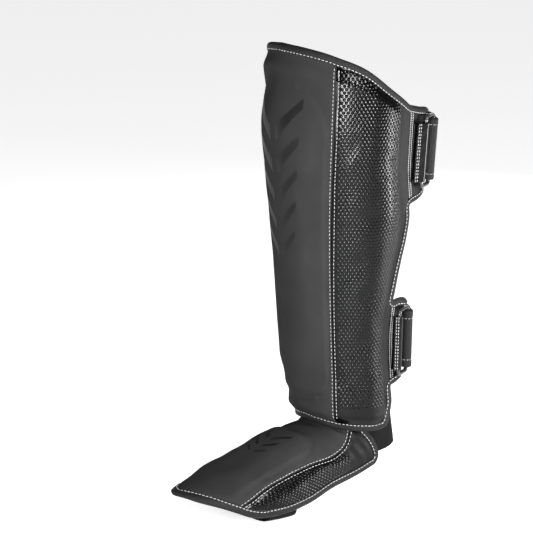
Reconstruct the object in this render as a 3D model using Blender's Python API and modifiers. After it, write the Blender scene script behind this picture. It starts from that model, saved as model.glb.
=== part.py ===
"""Shin and instep guard for the right or left leg, worn.

Frame: +Z up along the leg, the toe end towards -Y, +X to the wearer's side.
The origin is on the leg's axis, level with the ground under the foot.
The layers of the shin part share one grid: an angle round the leg and a height.
The layers of the instep part share another: across the foot and along it.
"""
import bpy
import bmesh
import numpy as np
from math import cos, pi, radians, sin
from mathutils import Vector

# ---------------------------------------------------------------- dimensions, metres
GAP = 0.0003            # running gap between sewn layers
SKIN = 0.0012           # coated fabric
LINING = 0.0012         # lining against the leg
BASE_FOAM = 0.0070      # foam over the whole shin part
EDGE_FOAM = 0.0025      # the same foam, pressed thin along the binding
BINDING = 0.0010        # tape folded over the edge
LEG_ASPECT = 1.2        # depth of the leg to its width, in front

INSTEP_IN = -0.0040     # inner face of the instep lining
INSTEP_OUT = 0.0040     # outer face of the instep skin
INSTEP_LINING = 0.0010
INSTEP_EDGE = 0.0024    # how much the instep foam thins towards its edge
INSTEP_PAD = 0.0032     # height of the raised instep pad

STRAP = 0.0020          # webbing thickness
STRAP_LIFT = 0.0042     # strap's inner face above the leg's surface
PATCH = 0.0006          # hook and loop tape
RING_WIRE = 0.0020      # radius of the ring's bar
RING_PLAY = 0.0009      # free room round the rear bar inside the fold
RING_REACH = 0.0200     # distance between the two bars of a ring
SLEEVE = 0.0012         # coated fabric folded round the front bar

SEAM = 0.5              # share of the half width where the front panel ends
RIM_ROW = 0.017         # first row of the grid, under the binding
RIM_COLUMN = 0.952      # last column of the grid, under the binding

CLOSURES = {
    "upper": {"z": 0.347, "ring": 0.070, "strap": 0.058, "tab": 0.088, "mid": 127.0,
              "tab_to": 136.0, "far_tab_to": 119.0, "end": 176.0},
    "lower": {"z": 0.165, "ring": 0.066, "strap": 0.055, "tab": 0.081, "mid": 121.0,
              "tab_to": 128.5, "far_tab_to": 114.0, "end": 178.0},
}

# ---------------------------------------------------------------- smooth laws


def through(*keys):
    """A smooth law through a few (place, value) pairs."""
    xs = np.array([k[0] for k in keys], float)
    vs = np.array([k[1] for k in keys], float)
    slope = np.gradient(vs, xs)

    def law(x):
        x = np.clip(np.asarray(x, float), xs[0], xs[-1])
        i = np.clip(np.searchsorted(xs, x, side="right") - 1, 0, len(xs) - 2)
        h = xs[i + 1] - xs[i]
        u = (x - xs[i]) / h
        a = (1 + 2 * u) * (1 - u) ** 2 * vs[i] + u * (1 - u) ** 2 * h * slope[i]
        b = u * u * (3 - 2 * u) * vs[i + 1] + u * u * (u - 1) * h * slope[i + 1]
        return a + b
    return law


def ease(x):
    x = np.clip(x, 0.0, 1.0)
    return x * x * (3 - 2 * x)


# The leg: half its width, and where its axis lies, by height.
half_width = through((0.080, 0.0435), (0.120, 0.0430), (0.165, 0.0432), (0.230, 0.0475),
                     (0.300, 0.0545), (0.370, 0.0600), (0.460, 0.0615))
centre_y = through((0.080, -0.0065), (0.120, -0.0085), (0.165, -0.010), (0.230, -0.0095),
                   (0.300, -0.0095), (0.370, -0.0108), (0.460, -0.0160))
back_aspect = through((0.100, 1.08), (0.200, 1.08), (0.300, 1.18), (0.400, 1.20))
# Angles from the shin bone, in degrees, of the two panel seams and of the wing's edge.
seam_angle = through((0.085, 40), (0.165, 39.5), (0.230, 39), (0.300, 41), (0.373, 45),
                     (0.455, 50))
edge_angle = through((0.085, 103), (0.120, 102), (0.150, 100), (0.200, 101.5), (0.225, 105),
                     (0.245, 108.5), (0.265, 112), (0.285, 113), (0.303, 110), (0.325, 105.5),
                     (0.360, 104.5), (0.400, 106.5))
# Heights of the two rims, by share of the half width.
top_z = through((0.0, 0.450), (0.25, 0.447), (0.5, 0.439), (0.7, 0.426), (0.85, 0.408),
                (1.0, 0.391))
bottom_z = through((0.0, 0.093), (0.25, 0.0908), (0.5, 0.0872), (0.7, 0.0842), (0.85, 0.084),
                   (0.94, 0.089), (1.0, 0.108))
# The raised shin pad: height of its crown by height on the leg.
crown = through((0.110, 0.0115), (0.200, 0.0120), (0.300, 0.0095), (0.420, 0.0060))

# The instep: its ridge and its side edge, by station from the ankle (0) to the toe (1).
ridge_y = through((0, -0.0400), (0.08, -0.0470), (0.16, -0.0560), (0.26, -0.0760),
                  (0.40, -0.1010), (0.55, -0.1250), (0.72, -0.1550), (0.88, -0.1870), (1, -0.2125))
ridge_z = through((0, 0.1020), (0.08, 0.0905), (0.16, 0.0838), (0.26, 0.0790), (0.40, 0.0715),
                  (0.55, 0.0616), (0.72, 0.0520), (0.88, 0.0460), (1, 0.0430))
side_x = through((0, 0.0370), (0.2, 0.0395), (0.4, 0.0430), (0.6, 0.0465), (0.8, 0.0470),
                 (1, 0.0400))
side_y = through((0, -0.0040), (0.2, -0.0330), (0.4, -0.0620), (0.6, -0.0920), (0.8, -0.1220),
                 (1, -0.1500))
side_z = through((0, 0.0480), (0.2, 0.0392), (0.4, 0.0332), (0.6, 0.0242), (0.8, 0.0198),
                 (1, 0.0202))

# How square the instep's cross section is: rounder under the shin's rim.
square_drop = through((0, 1.05), (0.12, 1.05), (0.36, 1.28), (0.75, 1.25), (1, 0.72))
square_width = through((0, 0.88), (0.12, 0.88), (0.36, 0.80), (0.75, 0.80), (1, 0.92))

# ---------------------------------------------------------------- surfaces


def moved_out(place, p, q, d, step=0.0001):
    """The point place(p, q) moved by d along the surface's normal."""
    n = np.cross(place(p + step, q) - place(p - step, q), place(p, q + step) - place(p, q - step))
    n /= np.linalg.norm(n, axis=-1, keepdims=True)
    return place(p, q) + n * np.asarray(d)[..., None]


def on_leg(t, z):
    a = half_width(z)
    deep = np.where(np.cos(t) > 0, LEG_ASPECT, back_aspect(z))
    return np.stack([a * np.sin(t), centre_y(z) - deep * a * np.cos(t), z + 0 * t], -1)


def off_leg(t, z, d):
    t = np.asarray(t, float)
    return moved_out(on_leg, t, np.asarray(z, float) + 0 * t, np.asarray(d, float) + 0 * t)


def shin_place(u, v):
    """Angle and height for a share of the half width u and of the height v."""
    a = np.abs(u)
    z = bottom_z(a) + v * (top_z(a) - bottom_z(a))
    s = np.radians(seam_angle(z))
    e = np.radians(edge_angle(z))
    t = np.where(a < SEAM, a / SEAM * s, s + (e - s) * (a - SEAM) / (1 - SEAM))
    return np.sign(u) * t, z


def on_foot(a, c):
    """The instep's middle surface; at the ankle it closes round the foot like a collar."""
    k = np.clip(c, -1.2, 1.2) * pi / 2
    m = np.abs(1 - np.cos(k)) ** square_drop(a)
    collar = ease(1 - a / 0.4)
    x = side_x(a) * np.sign(c) * np.abs(np.sin(k)) ** square_width(a)
    x = x * (1 + 0.38 * collar * np.cos(k) ** 2)
    y = ridge_y(a) + (side_y(a) - ridge_y(a)) * m * (1 + collar * (1 - m))
    z = ridge_z(a) + (side_z(a) - ridge_z(a)) * m
    return np.stack([x, y, z], -1)


def off_foot(a, c, d):
    a = np.clip(np.asarray(a, float), 0.0002, 0.9998)
    c = np.asarray(c, float) + 0 * a
    c = np.where(np.abs(c) < 0.004, 0.004, c)
    c = np.clip(c, -0.996, 0.996)
    return moved_out(on_foot, a, c, np.asarray(d, float) + 0 * a)


# ---------------------------------------------------------------- heights of the layers


def pad_reach(v):
    """Half width of the raised shin pad, with round corners at its top and bottom."""
    low, high = 0.085, 0.895
    up = np.clip((v - (high - 0.12)) / 0.12, 0, 1)
    down = np.clip(((low + 0.07) - v) / 0.07, 0, 1)
    return 0.435 * (1 - 0.55 * (1 - np.sqrt(1 - up ** 2))) * (1 - 0.35 * (1 - np.sqrt(1 - down ** 2)))


def base_top(u, v):
    """Outer face of the base foam, thin towards every edge."""
    side = ease((1 - np.abs(u)) / 0.22)
    end = ease(v / 0.06) * ease((1 - v) / 0.055)
    return LINING + GAP + EDGE_FOAM + (BASE_FOAM - EDGE_FOAM) * side * end


def pad_height(c, v):
    """Height of the raised pad at share c of its reach."""
    z = 0.092 + v * 0.358
    ends = 0.45 + 0.55 * ease((v - 0.085) / 0.10) * ease((0.895 - v) / 0.10)
    return crown(z) * (1 - 0.45 * np.abs(c) ** 2.5) * ends


FRONT = (0.0, 0.28, 0.55, 0.80, 1.0)             # columns on the pad, shares of its reach
SIDE = (0.60, 0.73, 0.86, RIM_COLUMN, 1.0)  # columns on a wing
ROWS = (0.0, RIM_ROW, 0.085, 0.11, 0.155, 0.23, 0.32, 0.42, 0.52, 0.62, 0.71, 0.785, 0.84, 0.875,
        0.895, 1 - RIM_ROW, 1.0)
PAD_FIRST = ROWS.index(0.085)
PAD_LAST = ROWS.index(0.895)


def front_columns(v, edge):
    """Columns of one half of the front panel: over the pad, down its side, to the seam."""
    w = pad_reach(v)
    return [c * w for c in FRONT] + [w + 0.32 * (SEAM - w), edge]


# ---------------------------------------------------------------- Blender helpers

for old in list(bpy.data.objects):
    bpy.data.objects.remove(old, do_unlink=True)

model = bpy.data.collections.new("shin_guard")
bpy.context.scene.collection.children.link(model)


def material(name, colour, roughness, metallic=0.0):
    m = bpy.data.materials.new(name)
    m.use_nodes = True
    shader = m.node_tree.nodes["Principled BSDF"]
    shader.inputs["Base Color"].default_value = (colour, colour, colour, 1.0)
    shader.inputs["Roughness"].default_value = roughness
    shader.inputs["Metallic"].default_value = metallic
    return m


MATTE = material("matte_skin", 0.055, 0.62)
GLOSS = material("gloss_skin", 0.016, 0.22)
TAPE = material("binding_tape", 0.045, 0.80)
FOAM = material("foam", 0.030, 0.90)
CLOTH = material("lining_cloth", 0.035, 0.92)
ELASTIC = material("elastic", 0.024, 0.85)
WEBBING = material("webbing", 0.020, 0.75)
PLASTIC = material("ring_plastic", 0.018, 0.40)
HOOKS = material("hook_tape", 0.030, 0.95)


def finish(name, bm, look, solid=0.0):
    """Make the named object from bm; solid gives an open surface its thickness."""
    mesh = bpy.data.meshes.new(name)
    if solid == 0.0:
        bmesh.ops.recalc_face_normals(bm, faces=bm.faces[:])
    bm.to_mesh(mesh)
    bm.free()
    mesh.materials.append(look)
    mesh.shade_smooth()
    mesh.set_sharp_from_angle(angle=radians(45))
    thing = bpy.data.objects.new(name, mesh)
    model.objects.link(thing)
    if solid != 0.0:
        shell = thing.modifiers.new("thickness", "SOLIDIFY")
        shell.thickness = abs(solid)
        shell.offset = 1.0 if solid > 0 else -1.0
        shell.use_even_offset = False
        shell.use_rim = True
    return thing


def pivot(name, place):
    """An empty on a joint's axis."""
    empty = bpy.data.objects.new(name, None)
    empty.empty_display_size = 0.01
    empty.location = place
    bpy.context.scene.collection.objects.link(empty)
    return empty


def hang(parent, *things):
    """Hang finished pieces from an empty and leave them where they are."""
    shift = Vector(parent.location)
    for thing in things:
        thing.parent = parent
        thing.location = Vector(thing.location) - shift


def grid(points):
    """A grid surface whose vertices are the rows and columns of points."""
    rows, columns = points.shape[0], points.shape[1]
    bm = bmesh.new()
    bmesh.ops.create_grid(bm, x_segments=columns - 1, y_segments=rows - 1, size=0.5)
    for v in bm.verts:
        i = round((v.co.x + 0.5) * (columns - 1))
        j = round((v.co.y + 0.5) * (rows - 1))
        v.co = Vector(points[j, i])
    return bm


def surface(name, points, look, solid):
    """A skin: the open grid gets its thickness along its own normals."""
    return finish(name, grid(points), look, solid)


def layer(name, low, high, look):
    """A padded layer between two grids with the same rows and columns."""
    bm = grid(low)
    rows, columns = low.shape[0], low.shape[1]
    place = {}
    for j in range(rows):
        for i in range(columns):
            place[tuple(round(float(k), 7) for k in low[j, i])] = Vector(high[j, i])
    made = bmesh.ops.extrude_face_region(bm, geom=bm.faces[:], use_keep_orig=True)
    for v in [g for g in made["geom"] if isinstance(g, bmesh.types.BMVert)]:
        v.co = place[tuple(round(float(k), 7) for k in low[nearest(low, v.co)])]
    return finish(name, bm, look)


def nearest(points, co):
    d = np.abs(points - np.array(co)).sum(-1)
    return np.unravel_index(np.argmin(d), d.shape)


def ring_of(name, sections, look):
    """A closed ring: the same closed section at every station of a closed path."""
    wrapped = np.concatenate([sections, sections[:1]], 0)
    wrapped = np.concatenate([wrapped, wrapped[:, :1]], 1)
    bm = grid(wrapped)
    bmesh.ops.remove_doubles(bm, verts=bm.verts[:], dist=0.00001)
    return finish(name, bm, look)


# ---------------------------------------------------------------- the shin part


def shin_columns(v):
    front = front_columns(v, SEAM)
    half = front + [SEAM + (c - 0.5) / 0.5 * (1 - SEAM) for c in SIDE]
    return np.array([-c for c in reversed(half[1:])] + half)


def shin_points(rows, columns_of, height_of):
    out = []
    for v in rows:
        u = columns_of(v)
        t, z = shin_place(u, v + 0 * u)
        out.append(off_leg(t, z, height_of(u, v)))
    return np.array(out)


def outer_height(u, v):
    """Inner face of the outer skins: over the base, and over the pad where it stands."""
    base = base_top(u, v) + GAP
    w = float(pad_reach(v))
    c = np.abs(u) / w
    on = (c < 1.001) & (0.0849 < v < 0.8951)
    return base + np.where(on, pad_height(np.minimum(c, 1), v) + GAP, 0.0)


def shin_layers():
    flat = lambda h: (lambda u, v: h + 0 * u)
    surface("shin_lining", shin_points(ROWS, shin_columns, flat(LINING)), CLOTH, -LINING)
    layer("shin_foam_base", shin_points(ROWS, shin_columns, flat(LINING + GAP)),
          shin_points(ROWS, shin_columns, base_top), FOAM)

    pad_rows = ROWS[PAD_FIRST:PAD_LAST + 1]
    pad_columns = lambda v: np.array([s * c * float(pad_reach(v)) for s, c in
                                      [(-1, k) for k in reversed(FRONT[1:])] + [(1, k) for k in FRONT]])
    low = shin_points(pad_rows, pad_columns, lambda u, v: base_top(u, v) + GAP)
    high = shin_points(pad_rows, pad_columns,
                       lambda u, v: base_top(u, v) + GAP + pad_height(np.abs(u) / float(pad_reach(v)), v))
    layer("shin_foam_core", low, high, FOAM)

    def front(v):
        half = front_columns(v, SEAM - 0.002)
        return np.array([-c for c in reversed(half[1:])] + half)
    surface("shin_front_panel", shin_points(ROWS, front, outer_height), MATTE, SKIN)

    for name, sign in (("shin_side_panel_right", 1), ("shin_side_panel_left", -1)):
        def side(v, sign=sign):
            half = [SEAM + 0.002] + list(SIDE)
            return np.array(half) if sign > 0 else -np.array(half[::-1])
        surface(name, shin_points(ROWS, side, outer_height), GLOSS, SKIN)


def rim_path(columns_of, rows, inset):
    """The grid line inset by one row and column, walked round once: shares u, v."""
    last = len(rows) - 1
    first_row, last_row = inset, last - inset
    path = []
    for j in range(first_row, last_row):
        path.append((columns_of(rows[j])[-1 - inset], rows[j]))
    u = columns_of(rows[last_row])
    for i in range(len(u) - 1 - inset, inset, -1):
        path.append((u[i], rows[last_row]))
    for j in range(last_row, first_row, -1):
        path.append((columns_of(rows[j])[inset], rows[j]))
    u = columns_of(rows[first_row])
    for i in range(inset, len(u) - 1 - inset):
        path.append((u[i], rows[first_row]))
    return path


def binding_sections(edge, inner, place, top, bottom, clear=GAP):
    """Sections of a tape folded over an edge.

    edge and inner are matching (p, q) paths; place gives the point for p, q and height;
    top and bottom give the heights of the two faces that the tape covers.
    """
    points = []
    base = np.array([place(p, q, 0.5 * (top(p, q) + bottom(p, q))) for p, q in edge])
    n = len(edge)
    far = clear + BINDING
    for k in range(n):
        (p, q), (pi_, qi) = edge[k], inner[k]
        along = base[(k + 1) % n] - base[k - 1]
        along /= np.linalg.norm(along)
        up = place(p, q, top(p, q)) - place(p, q, bottom(p, q))
        up /= np.linalg.norm(up)
        out = np.cross(along, up)
        out /= np.linalg.norm(out)
        if np.dot(out, place(pi_, qi, bottom(pi_, qi)) - place(p, q, bottom(p, q))) > 0:
            out = -out
        hi, lo = top(p, q) + clear, bottom(p, q) - clear
        hi_in, lo_in = top(pi_, qi) + clear, bottom(pi_, qi) - clear
        points.append([
            place(pi_, qi, lo_in),
            place(p, q, lo) + out * clear,
            place(p, q, hi) + out * clear,
            place(pi_, qi, hi_in),
            place(pi_, qi, hi_in + BINDING),
            place(p, q, hi + 0.8 * BINDING) + out * 0.6 * far,
            place(p, q, 0.5 * (hi + lo)) + out * (far + 0.0006),
            place(p, q, lo - 0.8 * BINDING) + out * 0.6 * far,
            place(pi_, qi, lo_in - BINDING)])
    return np.array(points)


def matching_inner(columns_of, rows):
    """For every station on the outer rim, the grid point just inside it."""
    last = len(rows) - 1
    path = []
    u0 = columns_of(rows[1])
    u1 = columns_of(rows[last - 1])
    for j in range(0, last):
        jj = min(max(j, 1), last - 1)
        path.append((columns_of(rows[jj])[-2], rows[jj]))
    for i in range(len(u1) - 1, 0, -1):
        path.append((u1[min(max(i, 1), len(u1) - 2)], rows[last - 1]))
    for j in range(last, 0, -1):
        jj = min(max(j, 1), last - 1)
        path.append((columns_of(rows[jj])[1], rows[jj]))
    for i in range(0, len(u0) - 1):
        path.append((u0[min(max(i, 1), len(u0) - 2)], rows[1]))
    return path


def shin_binding():
    def place(u, v, d):
        t, z = shin_place(np.array([u]), np.array([v]))
        return off_leg(t, z, d)[0]
    top = lambda u, v: float(base_top(np.array([u]), v)[0]) + GAP + SKIN
    ring_of("shin_binding", binding_sections(rim_path(shin_columns, ROWS, 0),
                                             matching_inner(shin_columns, ROWS), place, top,
                                             lambda u, v: 0.0), TAPE)


# ---------------------------------------------------------------- the instep part

FOOT_ROWS = (0.0, 0.055, 0.12, 0.20, 0.28, 0.39, 0.50, 0.61, 0.72, 0.81, 0.88, 0.95, 1.0)
FOOT_FRONT = (0.0, 0.30, 0.56, 0.78, 0.88, 1.0)   # shares of the way to the seam
FOOT_SIDE = (0.30, 0.58, 0.80, 1.0)               # shares of the way from the seam to the edge
FOOT_PAD = 0.78                                   # share where the raised pad ends
FOOT_PAD_FIRST = FOOT_ROWS.index(0.28)
FOOT_PAD_LAST = FOOT_ROWS.index(0.81)
foot_seam = through((0, 0.415), (0.06, 0.425), (0.10, 0.47), (0.15, 0.535), (0.20, 0.605),
                    (0.26, 0.655), (0.40, 0.645), (0.55, 0.60), (0.70, 0.595), (0.80, 0.63),
                    (1, 0.70))


def foot_half(a, front=FOOT_FRONT, side=FOOT_SIDE):
    s = float(foot_seam(a))
    return [k * s for k in front] + [s + (1 - s) * k for k in side]


def both_sides(half):
    return np.array([-c for c in reversed(half[1:])] + list(half))


def foot_columns(a):
    return both_sides(foot_half(a))


def foot_in(a):
    """Inner face of the lining: the part is thinner at its toe."""
    return INSTEP_IN + 0.0026 * ease((a - 0.78) / 0.22)


def foot_top(c, a):
    """Outer face of the instep's base foam."""
    thin = 1 - ease((1 - np.abs(c)) / 0.25) * ease((1 - a) / 0.10) * ease((a + 0.03) / 0.15)
    return INSTEP_OUT - SKIN - GAP - INSTEP_EDGE * thin


def foot_points(rows, columns_of, height_of):
    out = []
    for a in rows:
        c = columns_of(a)
        out.append(off_foot(a + 0 * c, c, height_of(c, a)))
    return np.array(out)


def foot_pad_height(c, a):
    ends = 0.5 + 0.5 * ease((a - 0.28) / 0.12) * ease((0.81 - a) / 0.12)
    share = np.abs(c) / (FOOT_PAD * float(foot_seam(a)))
    return INSTEP_PAD * (1 - 0.4 * np.minimum(share, 1) ** 2.5) * ends


def foot_outer(c, a):
    on = (np.abs(c) < FOOT_PAD * float(foot_seam(a)) + 0.001) & (0.2799 < a < 0.8101)
    return foot_top(c, a) + GAP + np.where(on, foot_pad_height(c, a) + GAP, 0.0)


def instep_layers():
    under = lambda c, a: foot_in(a) + INSTEP_LINING + 0 * c
    layer("instep_lining", foot_points(FOOT_ROWS, foot_columns, lambda c, a: foot_in(a) + 0 * c),
          foot_points(FOOT_ROWS, foot_columns, under), CLOTH)
    layer("instep_foam_base", foot_points(FOOT_ROWS, foot_columns, lambda c, a: under(c, a) + GAP),
          foot_points(FOOT_ROWS, foot_columns, foot_top), FOAM)
    rows = FOOT_ROWS[FOOT_PAD_FIRST:FOOT_PAD_LAST + 1]
    pad = lambda a: both_sides(foot_half(a, FOOT_FRONT[:4], ()))
    layer("instep_foam_pad", foot_points(rows, pad, lambda c, a: foot_top(c, a) + GAP),
          foot_points(rows, pad, lambda c, a: foot_top(c, a) + GAP + foot_pad_height(c, a)), FOAM)
    over = lambda c, a: foot_outer(c, a) + SKIN
    near = lambda a: both_sides(foot_half(a, FOOT_FRONT[:-1] + (0.993,), ()))
    right = lambda a: np.array(foot_half(a, (), (0.012,) + FOOT_SIDE))
    left = lambda a: -np.array(foot_half(a, (), (0.012,) + FOOT_SIDE)[::-1])
    for name, columns_of, look in (("instep_front_panel", near, MATTE),
                                   ("instep_side_panel_right", right, GLOSS),
                                   ("instep_side_panel_left", left, GLOSS)):
        layer(name, foot_points(FOOT_ROWS, columns_of, foot_outer),
              foot_points(FOOT_ROWS, columns_of, over), look)


def instep_binding():
    place = lambda c, a, d: off_foot(np.array([a]), np.array([c]), np.array([d]))[0]
    top = lambda c, a: float(foot_top(np.array([c]), a)[0]) + GAP + SKIN
    ring_of("instep_binding", binding_sections(rim_path(foot_columns, FOOT_ROWS, 0),
                                               matching_inner(foot_columns, FOOT_ROWS), place, top,
                                               lambda c, a: float(foot_in(a)), 0.0007), TAPE)


shin_layers()
shin_binding()
instep_layers()
instep_binding()

# ---------------------------------------------------------------- the two closures


def frame_at(t, z):
    """A flat frame on the leg: a point, and the way round, up and out of it."""
    p = off_leg(np.array([t]), np.array([z]), 0.0)[0]
    ahead = off_leg(np.array([t + 0.01]), np.array([z]), 0.0)[0] - p
    round_ = ahead / np.linalg.norm(ahead)
    out = off_leg(np.array([t]), np.array([z]), 0.01)[0] - p
    out /= np.linalg.norm(out)
    up = np.cross(out, round_)
    return p, round_, up, out


def arc_to_angle(t, z, length):
    """The angle reached by going the given length round the leg from angle t."""
    steps = 40
    for _ in range(steps):
        here = off_leg(np.array([t, t + 0.001]), np.array([z, z]), 0.005)
        t += length / steps / (np.linalg.norm(here[1] - here[0]) / 0.001)
    return t


def tab(name, sign, t1, z, height, low, thick, look):
    """A flat ear on the leg with its two free corners rounded."""
    shares = (0.0, 0.25, 0.5, 0.72, 0.88, 1.0)
    rows = np.linspace(-1, 1, 9)
    out = []
    for r in rows:
        line = []
        for k in shares:
            over = max(0.0, (k - 0.35) / 0.65)
            half = height / 2 * (1 - 0.16 * (1 - np.sqrt(max(0.0, 1 - over ** 2))))
            level = z + r * half
            t0 = radians(float(edge_angle(level))) + 0.0030 / float(half_width(level))
            line.append((t0 + (t1 - t0) * k, level))
        line = np.array(line)
        if sign < 0:
            line = line[::-1]
        out.append(off_leg(sign * line[:, 0], line[:, 1], low))
    surface(name, np.array(out), look, thick)


def band(name, path, frame, half_height, thick, look, rows=3):
    """A strip whose centre line is a path of (round, out) places in a flat frame."""
    p, round_, up, out = frame
    hs = np.linspace(-half_height, half_height, rows)
    points = np.array([[p + round_ * a + out * b + up * h for a, b in path] for h in hs])
    return surface(name, points, look, thick)


def closure(side, d):
    z, half_strap = d["z"], d["strap"] / 2
    mid = radians(d["mid"])
    edge = radians(float(edge_angle(z)))
    frame = frame_at(mid, z)
    p, round_, up, out = frame
    reach = RING_REACH / 2
    bar = STRAP_LIFT + STRAP + RING_PLAY + RING_WIRE
    # The flat ring stands over a round leg: the angle where its rear bar comes to lie.
    low_t, high_t = mid, mid + 1.0
    for _ in range(40):
        rear_t = (low_t + high_t) / 2
        rear = off_leg(np.array([rear_t]), np.array([z]), bar)[0]
        if float(np.dot(rear - p, round_)) < reach:
            low_t = rear_t
        else:
            high_t = rear_t
    level = float(np.dot(rear - p, out))
    _, round_r, up_r, out_r = frame_at(rear_t, z)

    # ears
    tab(side + "_ring_tab", 1, radians(d["tab_to"]), z, d["tab"], LINING, 0.0023, GLOSS)
    tab(side + "_strap_tab", -1, radians(d["far_tab_to"]), z, d["tab"], LINING, 0.0027,
        GLOSS)

    # the ring: one bent wire
    half = d["ring"] / 2 - RING_WIRE
    corner = 0.0036
    curve = bpy.data.curves.new(side + "_ring", "CURVE")
    curve.dimensions = "3D"
    curve.bevel_depth = RING_WIRE
    curve.bevel_resolution = 1
    spline = curve.splines.new("POLY")
    places = []
    for cx, cz, start in ((1, 1, 0), (-1, 1, 90), (-1, -1, 180), (1, -1, 270)):
        for step in range(5):
            a = radians(start + 22.5 * step)
            places.append((cx * (reach - corner) + corner * cos(a), cz * (half - corner) + corner * sin(a)))
    spline.points.add(len(places) - 1)
    spline.use_cyclic_u = True
    for point, (a, b) in zip(spline.points, places):
        point.co = (*(p + round_ * a + up * b + out * level), 1.0)
    curve.materials.append(PLASTIC)
    ring = bpy.data.objects.new(side + "_ring", curve)
    model.objects.link(ring)

    # the sleeve: coated fabric folded round the front bar, its tails on the near ear
    inner = RING_WIRE + 0.0004
    tail_t = edge + 0.068

    def in_frame(t, h):
        q = off_leg(np.array([t]), np.array([z]), h)[0] - p
        return float(np.dot(q, round_)), float(np.dot(q, out))
    tab_top = LINING + 0.0027
    path = [in_frame(tail_t, tab_top + 0.0006 + SLEEVE)]
    for step in range(9):
        a = radians(-130 + 270 * step / 8)
        path.append((-reach + inner * cos(a), level + inner * sin(a)))
    path.append(in_frame(tail_t + 0.02, tab_top + 0.0012 + SLEEVE * 1.5))
    half_sleeve = half - corner - 0.0012
    band(side + "_ring_sleeve", path, frame, half_sleeve, -SLEEVE, GLOSS)

    # the strap lies on the tapering leg, and runs straight up and down at the bar
    def laid_at(t, h, k):
        straight = 1 - float(ease((t - rear_t) / 0.9))
        a = off_leg(np.array([t]), np.array([z + h]), k)[0]
        b = off_leg(np.array([t]), np.array([z]), k)[0] + up * h
        return a * (1 - straight) + b * straight

    # the strap: from the far ear round the calf, under the rear bar and back over it
    face = STRAP_LIFT + STRAP
    far = 2 * pi - radians(d["far_tab_to"] - 8.0)
    fold = RING_WIRE + RING_PLAY
    ends = [(arc_to_angle(rear_t, z, k), h) for k, h in
            ((0.003, bar + fold - 0.0004), (0.006, bar + fold - 0.0016))]
    rows = []
    for h in np.linspace(-half_strap, half_strap, 3):
        line = [laid_at(t, h, face) for t in np.linspace(far, rear_t, 20)]
        for step in range(1, 9):
            a = radians(-90 - 180 * step / 8)
            line.append(rear + up * h + round_r * fold * cos(a) + out_r * fold * sin(a))
        line += [laid_at(t, h, k) for t, k in ends]
        rows.append(line)
    surface(side + "_strap", np.array(rows), WEBBING, STRAP)

    # its free end, lying on the strap behind the bar
    rest = face + 4 * GAP + 2 * PATCH - GAP
    end_t = radians(d["end"])
    laid = [(arc_to_angle(rear_t, z, k), h) for k, h in
            ((0.0067, bar + fold - 0.0019), (0.009, bar + fold - 0.0030), (0.0125, rest + 0.0003))]
    laid += [(t, rest) for t in np.linspace(arc_to_angle(rear_t, z, 0.017), end_t, 9)]
    rows = []
    for h in np.linspace(-half_strap, half_strap, 3):
        rows.append([laid_at(t, h, k) for t, k in laid])
    end = surface(side + "_strap_end", np.array(rows), WEBBING, STRAP)

    # loop tape on the strap, hook tape under its end
    def tape(name, t0, t1, low, look, narrow):
        ts = np.linspace(t0, t1, 10)
        hh = np.linspace(-half_strap + narrow, half_strap - narrow, 3)
        return surface(name, np.array([[laid_at(t, h, low) for t in ts] for h in hh]), look, PATCH)
    loop_end = end_t + 0.20
    tape(side + "_loop_patch", arc_to_angle(rear_t, z, 0.014), loop_end, face + GAP, CLOTH, 0.002)
    hook = tape(side + "_hook_patch", arc_to_angle(rear_t, z, 0.018), end_t - 0.05,
                face + PATCH + 2 * GAP, HOOKS, 0.004)

    # joints: the free end peels from its first edge, the ring swings on its front bar
    peel_t = arc_to_angle(rear_t, z, 0.0060)
    peel = off_leg(np.array([peel_t]), np.array([z]), bar + fold - 0.0016 + STRAP)[0]
    hang(pivot(side + "_strap_pivot", peel), end, hook)
    swing = p - round_ * reach + out * level
    hang(pivot(side + "_ring_pivot", swing), ring)
    d["peel"], d["swing"], d["axis"] = peel, swing, up


for side, d in CLOSURES.items():
    closure(side, d)

# ---------------------------------------------------------------- what holds the foot

ANKLE_AXIS = (0.0, -0.0440, 0.1030)


def ankle_bridge():
    """The gusset between the instep's top edge and the inside of the shin part."""
    xs = np.linspace(-0.024, 0.024, 9)
    shares = np.linspace(0, 0.8, 200)
    edge = on_foot(0 * shares, shares)
    rows = []
    for k in np.linspace(0, 1, 6):
        line = []
        for x in xs:
            t = np.arcsin(x / float(half_width(0.136)))
            head = off_leg(np.array([t]), np.array([0.136]), -0.0022)[0]
            foot = np.array([x, *[np.interp(abs(x), edge[:, 0], edge[:, i]) for i in (1, 2)]])
            foot[2] += 0.0042
            line.append(foot + (head - foot) * k)
        rows.append(line)
    surface("ankle_bridge", np.array(rows), ELASTIC, 0.0012)


def ankle_strap():
    """An elastic band round the back of the ankle, from edge to edge of the instep."""
    rows = []
    for k in np.linspace(0, 1, 4):
        z = 0.0550 + 0.0330 * k
        wide = 0.0290 - 0.0050 * k
        deep = 0.0385 - 0.0035 * k
        start = -0.0180 - 0.0070 * k
        line = [(wide - 0.0004, start, z)]
        for step in range(15):
            a = pi * step / 14
            line.append((wide * np.sign(cos(a)) * abs(cos(a)) ** 0.85, -0.0050 + deep * sin(a), z + 0.003 * sin(a)))
        line.append((-wide + 0.0004, start, z))
        rows.append(line)
    return surface("ankle_strap", np.array(rows), ELASTIC, 0.0014)


def sole_strap():
    """An elastic band under the ball of the foot."""
    rows = []
    for a in np.linspace(0.66, 0.86, 4):
        wide = float(side_x(a)) - 0.0074
        y = float(side_y(a))
        top = float(side_z(a)) + 0.002
        line = []
        for step in range(17):
            f = radians(-90 + 180 * step / 16)
            line.append((wide * np.sign(sin(f)) * abs(sin(f)) ** 0.65, y, top - (top - 0.0072) * abs(cos(f)) ** 0.55))
        rows.append(line)
    return surface("sole_strap", np.array(rows), ELASTIC, 0.0014)


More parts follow.
